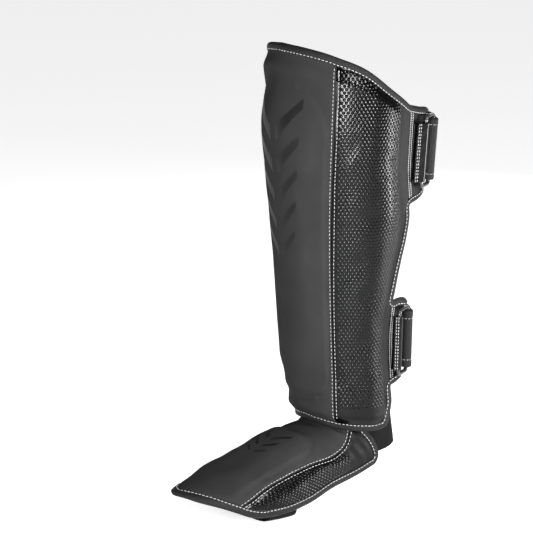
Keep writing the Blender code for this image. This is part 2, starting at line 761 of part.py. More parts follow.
ankle_bridge()
straps = [ankle_strap(), sole_strap()]
hinge = pivot("ankle_pivot", ANKLE_AXIS)
hang(hinge, *[o for o in model.objects if o.name.startswith("instep_")], *straps)
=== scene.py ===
"""The looks of a worn shin and instep guard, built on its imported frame.

Lengths are metres. +Z runs up the leg, the toe points to -Y, and the rings are on +X.
The shin part's surface is an angle t round the leg and a height z, or shares u and v of them.
The instep part's surface is a share a from ankle to toe and a share c across the foot.
"""

import bpy
import numpy as np
from math import cos, pi, radians, sin
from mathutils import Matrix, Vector


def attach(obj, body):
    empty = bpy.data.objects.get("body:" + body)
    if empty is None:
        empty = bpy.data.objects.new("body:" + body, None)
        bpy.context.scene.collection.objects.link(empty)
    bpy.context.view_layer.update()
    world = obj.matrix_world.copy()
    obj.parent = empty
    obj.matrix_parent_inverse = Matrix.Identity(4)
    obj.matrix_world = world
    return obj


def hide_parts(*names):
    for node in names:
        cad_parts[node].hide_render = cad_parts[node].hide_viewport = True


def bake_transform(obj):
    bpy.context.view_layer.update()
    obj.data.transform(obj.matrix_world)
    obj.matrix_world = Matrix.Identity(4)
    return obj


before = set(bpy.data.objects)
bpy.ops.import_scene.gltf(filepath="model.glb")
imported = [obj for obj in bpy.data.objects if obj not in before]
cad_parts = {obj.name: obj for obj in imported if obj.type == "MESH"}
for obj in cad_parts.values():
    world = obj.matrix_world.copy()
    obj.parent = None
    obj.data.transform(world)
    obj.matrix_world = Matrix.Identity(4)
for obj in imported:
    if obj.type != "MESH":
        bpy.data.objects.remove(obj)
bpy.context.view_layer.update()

# ---------------------------------------------------------------- dimensions of the frame

GAP = 0.0003
SKIN = 0.0012
LINING = 0.0012
BASE_FOAM = 0.0070
EDGE_FOAM = 0.0025
LEG_ASPECT = 1.2
INSTEP_IN = -0.0040
INSTEP_OUT = 0.0040
INSTEP_EDGE = 0.0024
INSTEP_PAD = 0.0032
STRAP = 0.0020
STRAP_LIFT = 0.0042         # the strap's inner face off the leg
PATCH = 0.0006              # hook or loop tape
RING_WIRE = 0.0020          # radius of a ring's bar
RING_PLAY = 0.0009
RING_REACH = 0.0200         # between the two upright bars of a ring
RING_TURN = 0.0036          # radius of a ring's corners
SLEEVE = 0.0012
SEAM = 0.5                  # where the front panel ends, as a share of the half width
WING_TOP = 0.391            # heights where the wing's edge meets the top and the bottom rim
WING_LOW = 0.108
GUSSET_TOP = 0.136
FLOOR = 0.0049

# Heights and widths of each closure, and angles in degrees: of the ring's middle, where the near
# and the far ear end, and where the strap's free end ends. top, root and low shift an ear's top
# edge and the two ends of its lower edge; flare is how far its corners stand off the leg.
CLOSURES = {
    "upper": {"z": 0.347, "ring": 0.070, "strap": 0.058, "tab": 0.088, "mid": 127.0,
              "tab_to": 136.0, "far_tab_to": 119.0, "end": 176.0, "top": -0.0035, "root": -0.0058,
              "low": -0.0004, "flare": 0.0036},
    "lower": {"z": 0.165, "ring": 0.066, "strap": 0.055, "tab": 0.081, "mid": 121.0,
              "tab_to": 128.5, "far_tab_to": 114.0, "end": 178.0, "top": 0.0020, "root": -0.0005,
              "low": 0.0050, "flare": 0.0048},
}

# ---------------------------------------------------------------- details of the looks

LAP = 6                     # points of a closed outline repeated before and after it
TAPE_WIDE = 0.0060          # binding tape on each face
TAPE_THICK = 0.0008
EAR_LOW = 0.0010            # faces of the thin ears, off the leg
EAR_TOP = 0.0030
EAR_SKIN = 0.0018
ANKLE_BAND = 0.0014
SOLE_BAND = 0.0013
GUSSET = 0.0011
PRINT_LIFT = 0.00016        # the print over the cloth
STITCH_IN = 0.0050          # rim stitches from the edge
STITCH_LONG = 0.0027
STITCH_PITCH = 0.0036
STITCH_THICK = 0.00034
SEAM_ROW = 0.0025           # stitch rows on either side of a panel seam
INSTEP_SEAM_ROW = 0.0017
HEM_ROW = 0.0066            # stitch row from a strap's edge
CLOTH_SLACK = 0.012         # how much larger the skin is cut than the foam under it
CLOTH_FRAMES = 20           # how long the cloth simulation runs
SWELL_CAPS = {"shin": (0.0011, 0.0003), "instep": (0.0008, 0.0002)}   # front and side panels
SHIN_WIDE = 0.150           # metres for one share across the shin part
LEG_ROUND = 0.065           # metres for one radian round the leg
FOOT_LONG = 0.170           # metres for one share along and one across the instep part
FOOT_WIDE = 0.072
BUMP_PITCH = 0.0039         # embossed bumps: across, and between rows
BUMP_ROW = 0.00305
BUMP_HIGH = 0.00042
PLAIN_REAR = 0.0120         # plain strip along the wing's edge
PLAIN_LOW = 0.0200          # plain band above the bottom rim

CAMERA_AZIMUTH = 53.0
CAMERA_ELEVATION = 12.0
CAMERA_DISTANCE = 2.4
LEG_POINT = (0.0, 0.0, 0.23)    # the camera is aimed beside this point on the leg's axis
LEG_ASIDE = 0.0888              # so far to the right of the picture's centre
METRES_PER_WIDTH = 0.50635      # what the picture spans at the leg

LIGHTS = (          # azimuth, away from the leg, level, how wide and high, power in watts
    ("seam", 61, 0.80, 0.28, 0.12, 0.22, 10),
    ("rim", 139, 0.80, 0.17, 0.12, 0.22, 7.5),
    ("high", 92, 1.30, 1.20, 0.52, 0.22, 30),
    ("fill", 14, 1.60, 0.22, 0.60, 0.40, 7),
    ("left", -50, 1.50, 0.30, 0.25, 0.55, 3),
    ("back", 212, 1.70, 0.60, 0.60, 0.80, 5),
)

# ---------------------------------------------------------------- smooth laws


def through(*keys):
    """A smooth law through a few (place, value) pairs."""
    xs = np.array([k[0] for k in keys], float)
    vs = np.array([k[1] for k in keys], float)
    slope = np.gradient(vs, xs)

    def law(x):
        x = np.clip(np.asarray(x, float), xs[0], xs[-1])
        i = np.clip(np.searchsorted(xs, x, side="right") - 1, 0, len(xs) - 2)
        h = xs[i + 1] - xs[i]
        u = (x - xs[i]) / h
        a = (1 + 2 * u) * (1 - u) ** 2 * vs[i] + u * (1 - u) ** 2 * h * slope[i]
        b = u * u * (3 - 2 * u) * vs[i + 1] + u * u * (u - 1) * h * slope[i + 1]
        return a + b
    return law


def ease(x):
    x = np.clip(x, 0.0, 1.0)
    return x * x * (3 - 2 * x)


half_width = through((0.080, 0.0435), (0.120, 0.0430), (0.165, 0.0432), (0.230, 0.0475),
                     (0.300, 0.0545), (0.370, 0.0600), (0.460, 0.0615))
centre_y = through((0.080, -0.0065), (0.120, -0.0085), (0.165, -0.010), (0.230, -0.0095),
                   (0.300, -0.0095), (0.370, -0.0108), (0.460, -0.0160))
back_aspect = through((0.100, 1.08), (0.200, 1.08), (0.300, 1.18), (0.400, 1.20))
seam_angle = through((0.085, 40), (0.165, 39.5), (0.230, 39), (0.300, 41), (0.373, 45),
                     (0.455, 50))
edge_angle = through((0.085, 103), (0.120, 102), (0.150, 100), (0.200, 101.5), (0.225, 105),
                     (0.245, 108.5), (0.265, 112), (0.285, 113), (0.303, 110), (0.325, 105.5),
                     (0.360, 104.5), (0.400, 106.5))
top_z = through((0.0, 0.450), (0.25, 0.447), (0.5, 0.439), (0.7, 0.426), (0.85, 0.408),
                (1.0, 0.391))
bottom_z = through((0.0, 0.093), (0.25, 0.0908), (0.5, 0.0872), (0.7, 0.0842), (0.85, 0.084),
                   (0.94, 0.089), (1.0, 0.108))
crown = through((0.110, 0.0115), (0.200, 0.0120), (0.300, 0.0095), (0.420, 0.0060))
ridge_y = through((0, -0.0400), (0.08, -0.0470), (0.16, -0.0560), (0.26, -0.0760),
                  (0.40, -0.1010), (0.55, -0.1250), (0.72, -0.1550), (0.88, -0.1870), (1, -0.2125))
ridge_z = through((0, 0.1020), (0.08, 0.0905), (0.16, 0.0838), (0.26, 0.0790), (0.40, 0.0715),
                  (0.55, 0.0616), (0.72, 0.0520), (0.88, 0.0460), (1, 0.0430))
side_x = through((0, 0.0370), (0.2, 0.0395), (0.4, 0.0430), (0.6, 0.0465), (0.8, 0.0470),
                 (1, 0.0400))
side_y = through((0, -0.0040), (0.2, -0.0330), (0.4, -0.0620), (0.6, -0.0920), (0.8, -0.1220),
                 (1, -0.1500))
side_z = through((0, 0.0480), (0.2, 0.0392), (0.4, 0.0332), (0.6, 0.0242), (0.8, 0.0198),
                 (1, 0.0202))
square_drop = through((0, 1.05), (0.12, 1.05), (0.36, 1.28), (0.75, 1.25), (1, 0.72))
square_width = through((0, 0.88), (0.12, 0.88), (0.36, 0.80), (0.75, 0.80), (1, 0.92))
foot_seam = through((0, 0.415), (0.06, 0.425), (0.10, 0.47), (0.15, 0.535), (0.20, 0.605),
                    (0.26, 0.655), (0.40, 0.645), (0.55, 0.60), (0.70, 0.595), (0.80, 0.63),
                    (1, 0.70))

# ---------------------------------------------------------------- surfaces


def unit(v):
    return v / np.linalg.norm(v, axis=-1, keepdims=True)


def moved_out(place, p, q, d, step=0.0001):
    """The point place(p, q) moved by d along the surface's normal."""
    n = np.cross(place(p + step, q) - place(p - step, q), place(p, q + step) - place(p, q - step))
    return place(p, q) + unit(n) * np.asarray(d)[..., None]


def on_leg(t, z):
    a = half_width(z)
    deep = np.where(np.cos(t) > 0, LEG_ASPECT, back_aspect(z))
    return np.stack([a * np.sin(t), centre_y(z) - deep * a * np.cos(t), z + 0 * t], -1)


def off_leg(t, z, d):
    t, z, d = np.broadcast_arrays(np.asarray(t, float), z, d)
    return moved_out(on_leg, t, z, d)


def shin_place(u, v):
    """Angle and height for a share of the half width u and of the height v."""
    a = np.abs(u)
    z = bottom_z(a) + v * (top_z(a) - bottom_z(a))
    s = np.radians(seam_angle(z))
    e = np.radians(edge_angle(z))
    t = np.where(a < SEAM, a / SEAM * s, s + (e - s) * (a - SEAM) / (1 - SEAM))
    return np.sign(u) * t, z


def on_foot(a, c):
    """The instep's middle surface; at the ankle it closes round the foot like a collar."""
    k = np.clip(c, -1.2, 1.2) * pi / 2
    m = np.abs(1 - np.cos(k)) ** square_drop(a)
    collar = ease(1 - a / 0.4)
    x = side_x(a) * np.sign(c) * np.abs(np.sin(k)) ** square_width(a)
    x = x * (1 + 0.38 * collar * np.cos(k) ** 2)
    y = ridge_y(a) + (side_y(a) - ridge_y(a)) * m * (1 + collar * (1 - m))
    z = ridge_z(a) + (side_z(a) - ridge_z(a)) * m
    return np.stack([x, y, z], -1)


def off_foot(a, c, d):
    a, c, d = np.broadcast_arrays(np.clip(np.asarray(a, float), 0.0002, 0.9998), c, d)
    c = np.clip(np.where(np.abs(c) < 0.0006, 0.0006, c), -0.996, 0.996)
    return moved_out(on_foot, a, c, d)


def waves(p, q, seed):
    """A slow, smooth unevenness between -1 and 1, the same each time."""
    total = 0.0
    for k in range(5):
        angle = seed * 1.7 + k * 2.4
        total = total + np.sin((p * cos(angle) + q * sin(angle)) * (1 + 0.37 * k) + seed * k)
    return total / 5


# ---------------------------------------------------------------- heights


def pad_reach(v):
    """Half width of the raised shin pad, with round corners at its top and bottom."""
    low, high = 0.085, 0.895
    up = np.clip((v - (high - 0.12)) / 0.12, 0, 1)
    down = np.clip(((low + 0.07) - v) / 0.07, 0, 1)
    narrower = 0.55 * (1 - np.sqrt(1 - up ** 2)), 0.35 * (1 - np.sqrt(1 - down ** 2))
    return 0.435 * (1 - narrower[0]) * (1 - narrower[1])


SWELL = {}          # what the cloth simulation adds to a padded part's skin: across, along, heights


def swell(part, across, along):
    """Height that the simulated filling adds, between the points of its grid."""
    if part not in SWELL:
        return 0.0
    xs, ys, heights = SWELL[part]
    x = np.clip((across - xs[0]) / (xs[1] - xs[0]), 0.5, len(xs) - 1.51)
    y = np.clip((along - ys[0]) / (ys[1] - ys[0]), 0.5, len(ys) - 1.51)
    i, j = np.rint(x).astype(int), np.rint(y).astype(int)
    x, y = x - i, y - j
    total = 0.0
    for dj, wy in ((-1, (0.5 - y) ** 2 / 2), (0, 0.75 - y ** 2), (1, (0.5 + y) ** 2 / 2)):
        for di, wx in ((-1, (0.5 - x) ** 2 / 2), (0, 0.75 - x ** 2), (1, (0.5 + x) ** 2 / 2)):
            total = total + heights[j + dj, i + di] * wx * wy
    return total


def base_height(u, v):
    """The skin over the base foam: pressed flat under the tape, full inside it."""
    side = ease((1 - np.abs(u) - 0.045) / 0.17)
    end = ease((v - 0.008) / 0.035) * ease((1 - v - 0.018) / 0.04)
    hem = 0.0023 * ease((0.150 - v) / 0.06) * ease((0.74 - np.abs(u)) / 0.22)
    foam = EDGE_FOAM + (BASE_FOAM + hem - EDGE_FOAM) * side * end
    return LINING + GAP + foam + GAP + SKIN


def pad_rise(u, v):
    """How far the raised shin pad lifts the front skin."""
    share = np.abs(u) / pad_reach(v)
    z = 0.092 + v * 0.358       # the height on the shin bone
    ends = 0.45 + 0.55 * ease((v - 0.085) / 0.10) * ease((0.895 - v) / 0.10)
    wall = 1 - ease((share - 0.97) / 0.15)
    close = ease((0.935 - v) / 0.075) * ease((v - 0.052) / 0.050)
    return crown(z) * (1 - 0.45 * np.minimum(share, 1) ** 2.5) * ends * wall * close


def seam_valley(distance):
    """The dip where two panels are sewn together, by distance from the seam."""
    return (-0.0008 * np.exp(-(distance / 0.0009) ** 2)
            - 0.0004 * np.exp(-((distance - 0.0026) / 0.0010) ** 2))


def shin_height(u, v):
    """Height of the shin's outer skin off the leg."""
    to_seam = np.abs(np.abs(u) - SEAM) * SHIN_WIDE
    soft = 0.00022 * waves(u * 16, v * 26, 3) * ease((1 - np.abs(u)) / 0.2)
    return base_height(u, v) + pad_rise(u, v) + seam_valley(to_seam) + soft + swell("shin", u, v)


def on_shin(u, v, lift=0.0):
    t, z = shin_place(u, v)
    return off_leg(t, z, shin_height(u, v) + lift)


def foot_in(a):
    """Inner face of the instep's lining: the part is thinner at its toe."""
    return INSTEP_IN + 0.0026 * ease((a - 0.78) / 0.22)


def corner(a):
    """How far across the instep part reaches: its four corners are round."""
    back = np.clip(1 - a / 0.075, 0, 1)
    front = np.clip(1 - (1 - a) / 0.12, 0, 1)
    return 1 - 0.13 * (1 - np.sqrt(1 - back ** 2)) - 0.16 * (1 - np.sqrt(1 - front ** 2))


def instep_height(a, c):
    """Height of the instep's outer skin off the foot surface."""
    share = np.abs(c) / corner(a)
    thin = 1 - ease((1 - share - 0.07) / 0.2) * ease((1 - a - 0.03) / 0.08) * ease((a + 0.01) / 0.12)
    base = INSTEP_OUT - INSTEP_EDGE * thin
    pad = np.abs(c) / (0.80 * foot_seam(a))
    rise = INSTEP_PAD * (1 - 0.4 * np.minimum(pad, 1) ** 2.5) * (1 - ease((pad - 0.88) / 0.16))
    behind = a - 0.25 - 0.10 * np.minimum(pad, 1.1) ** 3
    rise = (rise * ease(behind / 0.06) * ease((0.86 - a) / 0.12)
            - 0.0005 * np.exp(-(behind / 0.012) ** 2) * (pad < 1))
    to_seam = np.abs(np.abs(c) - foot_seam(a)) * FOOT_WIDE
    folds = 0.0009 * ease((0.24 - a) / 0.18) * np.sin(a * 95 + 2.2 * np.abs(c)) * (1 - share ** 2)
    soft = 0.00025 * waves(a * 22, c * 7, 5) * (1 - thin)
    height = base + rise + seam_valley(to_seam) + folds + soft
    return height + swell("instep", c / corner(a), a)


def on_instep(a, c, lift=0.0):
    return off_foot(a, c, instep_height(a, c) + lift)


# ---------------------------------------------------------------- meshes


def add(name, data):
    """A new object in the scene."""
    thing = bpy.data.objects.new(name, data)
    bpy.context.scene.collection.objects.link(thing)
    return thing


def mesh_object(name, points, faces, look, uvs=None):
    """A mesh from numpy arrays, with its material and, if given, its UVs per vertex."""
    faces = np.asarray(faces, int)
    mesh = bpy.data.meshes.new(name)
    mesh.vertices.add(len(points))
    mesh.vertices.foreach_set("co", np.asarray(points, np.float32).ravel())
    mesh.loops.add(faces.size)
    mesh.loops.foreach_set("vertex_index", faces.ravel().astype(np.int32))
    mesh.polygons.add(len(faces))
    mesh.polygons.foreach_set("loop_start", np.arange(len(faces), dtype=np.int32) * faces.shape[1])
    mesh.update(calc_edges=True)
    if uvs is not None:
        layer = mesh.uv_layers.new(name="along_across")
        layer.data.foreach_set("uv", np.asarray(uvs, np.float32)[faces.ravel()].ravel())
    mesh.validate()
    mesh.materials.append(look)
    mesh.shade_smooth()
    return add(name, mesh)


def grid_faces(rows, columns, wrap=False):
    """Quads of a grid; wrap joins the last row to the first."""
    j = np.arange(rows if wrap else rows - 1)[:, None]
    i = np.arange(columns - 1)[None, :]
    k = (j + 1) % rows
    quads = [j * columns + i, j * columns + i + 1, k * columns + i + 1, k * columns + i]
    return np.stack(quads, -1).reshape(-1, 4)


def every(rows, columns):
    """Each row value with each column value, as two grids."""
    return np.meshgrid(rows, columns, indexing="ij")


def evened(values, passes):
    """Values round a closed outline, each made more like its neighbours."""
    for _ in range(passes):
        values = (np.roll(values, 1) + values + np.roll(values, -1)) / 3
    return values


def metres(points, axis):
    """Running length along an axis of a grid of points."""
    step = np.linalg.norm(np.diff(points, axis=axis), axis=-1)
    start = np.zeros_like(np.take(step, [0], axis))
    return np.concatenate([start, np.cumsum(step, axis)], axis)


def skin_of(name, points, look, thick=0.0, flip=False):
    """A grid surface; thick makes it a solid sheet, downwards from its outer face."""
    rows, columns = points.shape[:2]
    faces = grid_faces(rows, columns)
    if flip:
        faces = faces[:, ::-1]
    uvs = np.stack([metres(points, 1), metres(points, 0)], -1).reshape(-1, 2)
    thing = mesh_object(name, points.reshape(-1, 3), faces, look, uvs)
    if thick:
        shell = thing.modifiers.new("thickness", "SOLIDIFY")
        shell.thickness = thick
        shell.offset = -1.0
    return thing


def ribbon(name, low, high, look):
    """A closed band between two grids with the same rows and columns: along is the columns."""
    rows, columns = low.shape[:2]
    loop = np.concatenate([high, low[::-1]], 0)
    faces = grid_faces(2 * rows, columns, wrap=True)
    uv_high = np.stack([metres(high, 1), metres(high, 0)], -1)
    uv_low = np.stack([metres(low, 1), metres(low, 0)], -1)[::-1]
    uvs = np.concatenate([uv_high, uv_low], 0).reshape(-1, 2)
    j = np.arange(rows - 1)
    caps = []
    for i in (0, columns - 1):
        cap = np.stack([j, j + 1, 2 * rows - 2 - j, 2 * rows - 1 - j], -1) * columns + i
        caps.append(cap if i else cap[:, ::-1])
    return mesh_object(name, loop.reshape(-1, 3), np.concatenate([faces] + caps), look, uvs)


def shift(place, p, q, by):
    """A path p, q on a surface moved sideways by so many metres, to the left of its direction."""
    h = 0.0015
    x = place(p, q, 0.0)
    dp = (place(p + h, q, 0.0) - place(p - h, q, 0.0)) / (2 * h)
    dq = (place(p, q + h, 0.0) - place(p, q - h, 0.0)) / (2 * h)
    side = np.cross(unit(np.cross(dp, dq)), np.gradient(x, axis=0))
    side /= np.linalg.norm(side, axis=-1, keepdims=True) + 1e-12
    pp, qq, pq = (dp * dp).sum(-1), (dq * dq).sum(-1), (dp * dq).sum(-1)
    sp, sq = (side * dp).sum(-1), (side * dq).sum(-1)
    det = pp * qq - pq * pq
    return p + by * (sp * qq - sq * pq) / det, q + by * (sq * pp - sp * pq) / det


def resampled(points, step):
    """A polyline at equal spacing."""
    run = metres(points, 0)
    count = max(int(run[-1] / step), 2)
    at = np.linspace(0, run[-1], count + 1)
    return np.stack([np.interp(at, run, points[:, k]) for k in range(points.shape[1])], -1)


def in_steps(points, count):
    """A polyline in so many equal steps."""
    return resampled(points, metres(points, 0)[-1] / (count + 0.5))


def rounded(points, passes):
    """A closed polyline with its corners worn round."""
    for _ in range(passes):
        points = (np.roll(points, 1, 0) + 2 * points + np.roll(points, -1, 0)) / 4
    return points


# ---------------------------------------------------------------- stitches


class Thread:
    """Gathers stitches that ride on one body, and makes one mesh of them."""

    def __init__(self, name, body, look):
        self.name, self.body, self.look = name, body, look
        self.points, self.faces, self.uvs = [], [], []
        self.count = 0
        rings, sides = 7, 6
        s = np.linspace(-1, 1, rings)
        around = np.arange(sides + 1) * 2 * pi / sides
        wide = np.sqrt(np.maximum(1 - np.abs(s) ** 3.2, 0.02))
        self.shape = np.stack([
            s[:, None] + 0 * around[None],
            wide[:, None] * np.cos(around)[None],
            wide[:, None] * np.sin(around)[None] + (0.9 - 1.9 * s ** 4)[:, None] * 0.75], -1)
        self.shape_faces = grid_faces(rings, sides + 1)
        self.size = rings * (sides + 1)

    def sew(self, points, normals, long=STITCH_LONG, pitch=STITCH_PITCH, thick=STITCH_THICK,
            slant=0.0):
        """One row of stitches along a polyline that lies on a surface."""
        run = metres(points, 0)
        count = int(run[-1] / pitch)
        if count < 1:
            return
        at = (np.arange(count) + 0.5) * run[-1] / count

        def mid(values, where):
            return np.stack([np.interp(where, run, values[:, k]) for k in range(3)], -1)
        centre = mid(points, at)
        ahead = unit(mid(points, at + long / 2) - mid(points, at - long / 2))
        up = mid(normals, at)
        up = unit(up - ahead * (up * ahead).sum(-1, keepdims=True))
        side = np.cross(up, ahead)
        if slant:
            ahead, side = unit(ahead + side * slant), unit(side - ahead * slant)
        shape = self.shape * np.array([long / 2, thick, thick])
        made = (centre[:, None, None] + shape[None, ..., 0:1] * ahead[:, None, None]
                + shape[None, ..., 1:2] * side[:, None, None]
                + shape[None, ..., 2:3] * up[:, None, None])
        self.points.append(made.reshape(-1, 3))
        base = self.count + np.arange(count)[:, None, None] * self.size
        self.faces.append((base + self.shape_faces[None]).reshape(-1, 4))
        uv = np.stack([self.shape[..., 0] * long / 2, self.shape[..., 1] * thick], -1).reshape(-1, 2)
        self.uvs.append(np.tile(uv, (count, 1)))
        self.count += count * self.size

    def sew_on(self, place, p, q, **more):
        """A row along a path p, q of a surface place(p, q, lift)."""
        low, high = place(p, q, 0.0), place(p, q, 0.001)
        self.sew(low, high - low, **more)

    def finish(self):
        thing = mesh_object(self.name, np.concatenate(self.points), np.concatenate(self.faces),
                            self.look, np.concatenate(self.uvs))
        placed(thing, self.body, "binding_tape")


# ---------------------------------------------------------------- materials


def node(tree, kind, **values):
    made = tree.nodes.new(kind)
    for key, value in values.items():
        if key in made.inputs:
            made.inputs[key].default_value = value
        else:
            setattr(made, key, value)
    return made


def material(name, colour, rough, **fixed):
    """A Principled material with values that are the same all over."""
    m = bpy.data.materials.new(name)
    m.use_nodes = True
    shader = m.node_tree.nodes["Principled BSDF"]
    shader.inputs["Base Color"].default_value = (*colour, 1.0)
    shader.inputs["Roughness"].default_value = rough
    for key, value in fixed.items():
        shader.inputs[key.replace("_", " ")].default_value = value
    return m


def noise(m, scale, detail=4.0, rough=0.55):
    tree = m.node_tree
    place = node(tree, "ShaderNodeTexCoord")
    made = node(tree, "ShaderNodeTexNoise", Scale=scale, Detail=detail, Roughness=rough)
    tree.links.new(place.outputs["Object"], made.inputs["Vector"])
    return made.outputs["Fac"]


def grain(m, scale):
    tree = m.node_tree
    place = node(tree, "ShaderNodeTexCoord")
    made = node(tree, "ShaderNodeTexVoronoi", Scale=scale)
    tree.links.new(place.outputs["Object"], made.inputs["Vector"])
    return made.outputs["Distance"]


def lines(m, pitch, angle=0.0, distort=0.0):
    """Fine parallel lines across the UV's first direction, turned by an angle."""
    tree = m.node_tree
    place = node(tree, "ShaderNodeTexCoord")
    turn = node(tree, "ShaderNodeMapping")
    turn.inputs["Rotation"].default_value = (0, 0, radians(angle))
    made = node(tree, "ShaderNodeTexWave", Scale=0.314 / pitch, Distortion=distort)
    made.inputs["Detail"].default_value = 1.0
    tree.links.new(place.outputs["UV"], turn.inputs["Vector"])
    tree.links.new(turn.outputs["Vector"], made.inputs["Vector"])
    return made.outputs["Fac"]


def vary(m, factor, dark, light, low=0.3, high=0.7):
    """Base colour between two greys by a factor."""
    tree = m.node_tree
    ramp = node(tree, "ShaderNodeValToRGB")
    ramp.color_ramp.elements[0].position = low
    ramp.color_ramp.elements[1].position = high
    ramp.color_ramp.elements[0].color = (*dark, 1)
    ramp.color_ramp.elements[1].color = (*light, 1)
    tree.links.new(factor, ramp.inputs["Fac"])
    tree.links.new(ramp.outputs["Color"], tree.nodes["Principled BSDF"].inputs["Base Color"])


def roughen(m, factor, low, high, plain=0.0):
    """Roughness between two values by a factor, and more by plain where a piece says it is plain."""
    tree = m.node_tree
    span = node(tree, "ShaderNodeMapRange")
    span.inputs["To Min"].default_value = low
    span.inputs["To Max"].default_value = high
    tree.links.new(factor, span.inputs["Value"])
    last = span.outputs["Result"]
    if plain:
        said = node(tree, "ShaderNodeAttribute", attribute_name="plain")
        more = node(tree, "ShaderNodeMath", operation="MULTIPLY_ADD")
        more.inputs[1].default_value = plain
        tree.links.new(said.outputs["Fac"], more.inputs[0])
        tree.links.new(last, more.inputs[2])
        last = more.outputs[0]
    tree.links.new(last, tree.nodes["Principled BSDF"].inputs["Roughness"])


def say_plain(piece, share):
    """Mark how plain each point of a grid piece is, for its roughness."""
    layer = piece.data.attributes.new("plain", "FLOAT", "POINT")
    layer.data.foreach_set("value", np.asarray(share, np.float32).ravel())


def bump(m, *heights):
    """Bumps one over the other: (factor, height in metres, strength)."""
    tree = m.node_tree
    last = None
    for factor, distance, strength in heights:
        made = node(tree, "ShaderNodeBump", Strength=strength, Distance=distance)
        tree.links.new(factor, made.inputs["Height"])
        if last:
            tree.links.new(last, made.inputs["Normal"])
        last = made.outputs["Normal"]
    tree.links.new(last, tree.nodes["Principled BSDF"].inputs["Normal"])


def grey(value):
    return (value, value, value)


def make_looks():
    looks = {}
    m = looks["matte"] = material("matte_coated_fabric", grey(0.019), 0.80, Specular_IOR_Level=0.06)
    vary(m, noise(m, 26, 3), grey(0.0150), grey(0.0190))
    roughen(m, noise(m, 140, 4), 0.74, 0.86)
    bump(m, (grain(m, 1500), 0.00006, 0.55), (noise(m, 420, 5), 0.00008, 0.35))

    m = looks["gloss"] = material("gloss_coated_fabric", grey(0.001), 0.2, Specular_IOR_Level=0.13)
    vary(m, noise(m, 40, 3), grey(0.0008), grey(0.0016))
    roughen(m, noise(m, 260, 4), 0.12, 0.20, 0.40)
    bump(m, (noise(m, 160, 3), 0.00005, 0.2))

    m = looks["tape"] = material("twill_tape", grey(0.006), 0.60, Specular_IOR_Level=0.14)
    twill = lines(m, 0.00055, 38, 0.6)
    vary(m, twill, grey(0.004), grey(0.009), 0.1, 0.9)
    bump(m, (twill, 0.00010, 0.6), (noise(m, 900, 4), 0.00008, 0.4))

    m = looks["lining"] = material("brushed_lining", grey(0.020), 0.93, Sheen_Weight=0.15,
                                   Sheen_Roughness=0.5)
    vary(m, noise(m, 300, 6, 0.7), grey(0.016), grey(0.028))
    bump(m, (noise(m, 1400, 6, 0.7), 0.00014, 0.7), (lines(m, 0.0011, 90, 0.8), 0.00008, 0.35))

    m = looks["elastic"] = material("ribbed_elastic", grey(0.006), 0.85, Specular_IOR_Level=0.06)
    ribs = lines(m, 0.0012, 0, 0.15)
    vary(m, ribs, grey(0.003), grey(0.007), 0.1, 0.9)
    bump(m, (ribs, 0.00016, 0.7), (noise(m, 1600, 4), 0.00006, 0.5))

    m = looks["webbing"] = material("brushed_webbing", grey(0.007), 0.60, Specular_IOR_Level=0.11,
                                    Sheen_Weight=0.01, Sheen_Roughness=0.45)
    weft = lines(m, 0.0009, 90, 0.5)
    vary(m, noise(m, 500, 5, 0.7), grey(0.005), grey(0.010))
    bump(m, (weft, 0.00008, 0.45), (noise(m, 1300, 5, 0.7), 0.00010, 0.6))

    m = looks["loop"] = material("loop_pile", grey(0.020), 0.95, Sheen_Weight=0.15,
                                 Sheen_Roughness=0.6)
    vary(m, grain(m, 900), grey(0.010), grey(0.028), 0.0, 0.6)
    bump(m, (grain(m, 900), 0.0003, 0.9))

    m = looks["hook"] = material("hook_tape", grey(0.022), 0.5)
    vary(m, grain(m, 1100), grey(0.008), grey(0.024), 0.0, 0.6)
    bump(m, (grain(m, 1100), 0.0004, 0.9))

    m = looks["ring"] = material("moulded_plastic", grey(0.013), 0.22, Specular_IOR_Level=0.5)
    roughen(m, noise(m, 300, 3), 0.18, 0.32)
    bump(m, (noise(m, 700, 3), 0.00003, 0.4))

    m = looks["thread"] = material("sewing_thread", grey(0.36), 0.6, Sheen_Weight=0.2)
    ply = lines(m, 0.00035, 40)
    vary(m, ply, grey(0.22), grey(0.38), 0.1, 0.9)
    bump(m, (ply, 0.00008, 0.6))

    m = looks["black_thread"] = material("dark_sewing_thread", grey(0.10), 0.6)
    vary(m, lines(m, 0.00035, 40), grey(0.07), grey(0.14), 0.1, 0.9)

    m = looks["print"] = material("tonal_print", grey(0.005), 0.42, Specular_IOR_Level=0.14)
    roughen(m, noise(m, 300, 3), 0.32, 0.46)
    return looks


LOOKS = make_looks()


def placed(thing, body, slot, *nodes):
    """Hand a finished piece to its body, in place of the CAD nodes it stands for."""
    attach(thing, body)
    if nodes:
        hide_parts(*nodes)


# ---------------------------------------------------------------- the camera


def make_camera():
    azimuth, elevation = radians(CAMERA_AZIMUTH), radians(CAMERA_ELEVATION)
    back = Vector((sin(azimuth) * cos(elevation), -cos(azimuth) * cos(elevation), sin(elevation)))
    right = Vector((cos(azimuth), sin(azimuth), 0.0))
    place = Vector(LEG_POINT) + back * CAMERA_DISTANCE
    aim = Vector(LEG_POINT) - right * LEG_ASIDE
    data = bpy.data.cameras.new("camera")
    data.sensor_width = 36.0
    data.lens = data.sensor_width * CAMERA_DISTANCE / METRES_PER_WIDTH
    camera = add("camera", data)
    camera.location = place
    camera.rotation_euler = (aim - place).to_track_quat("-Z", "Y").to_euler()
    bpy.context.scene.camera = camera


# ---------------------------------------------------------------- the filling of the padded parts


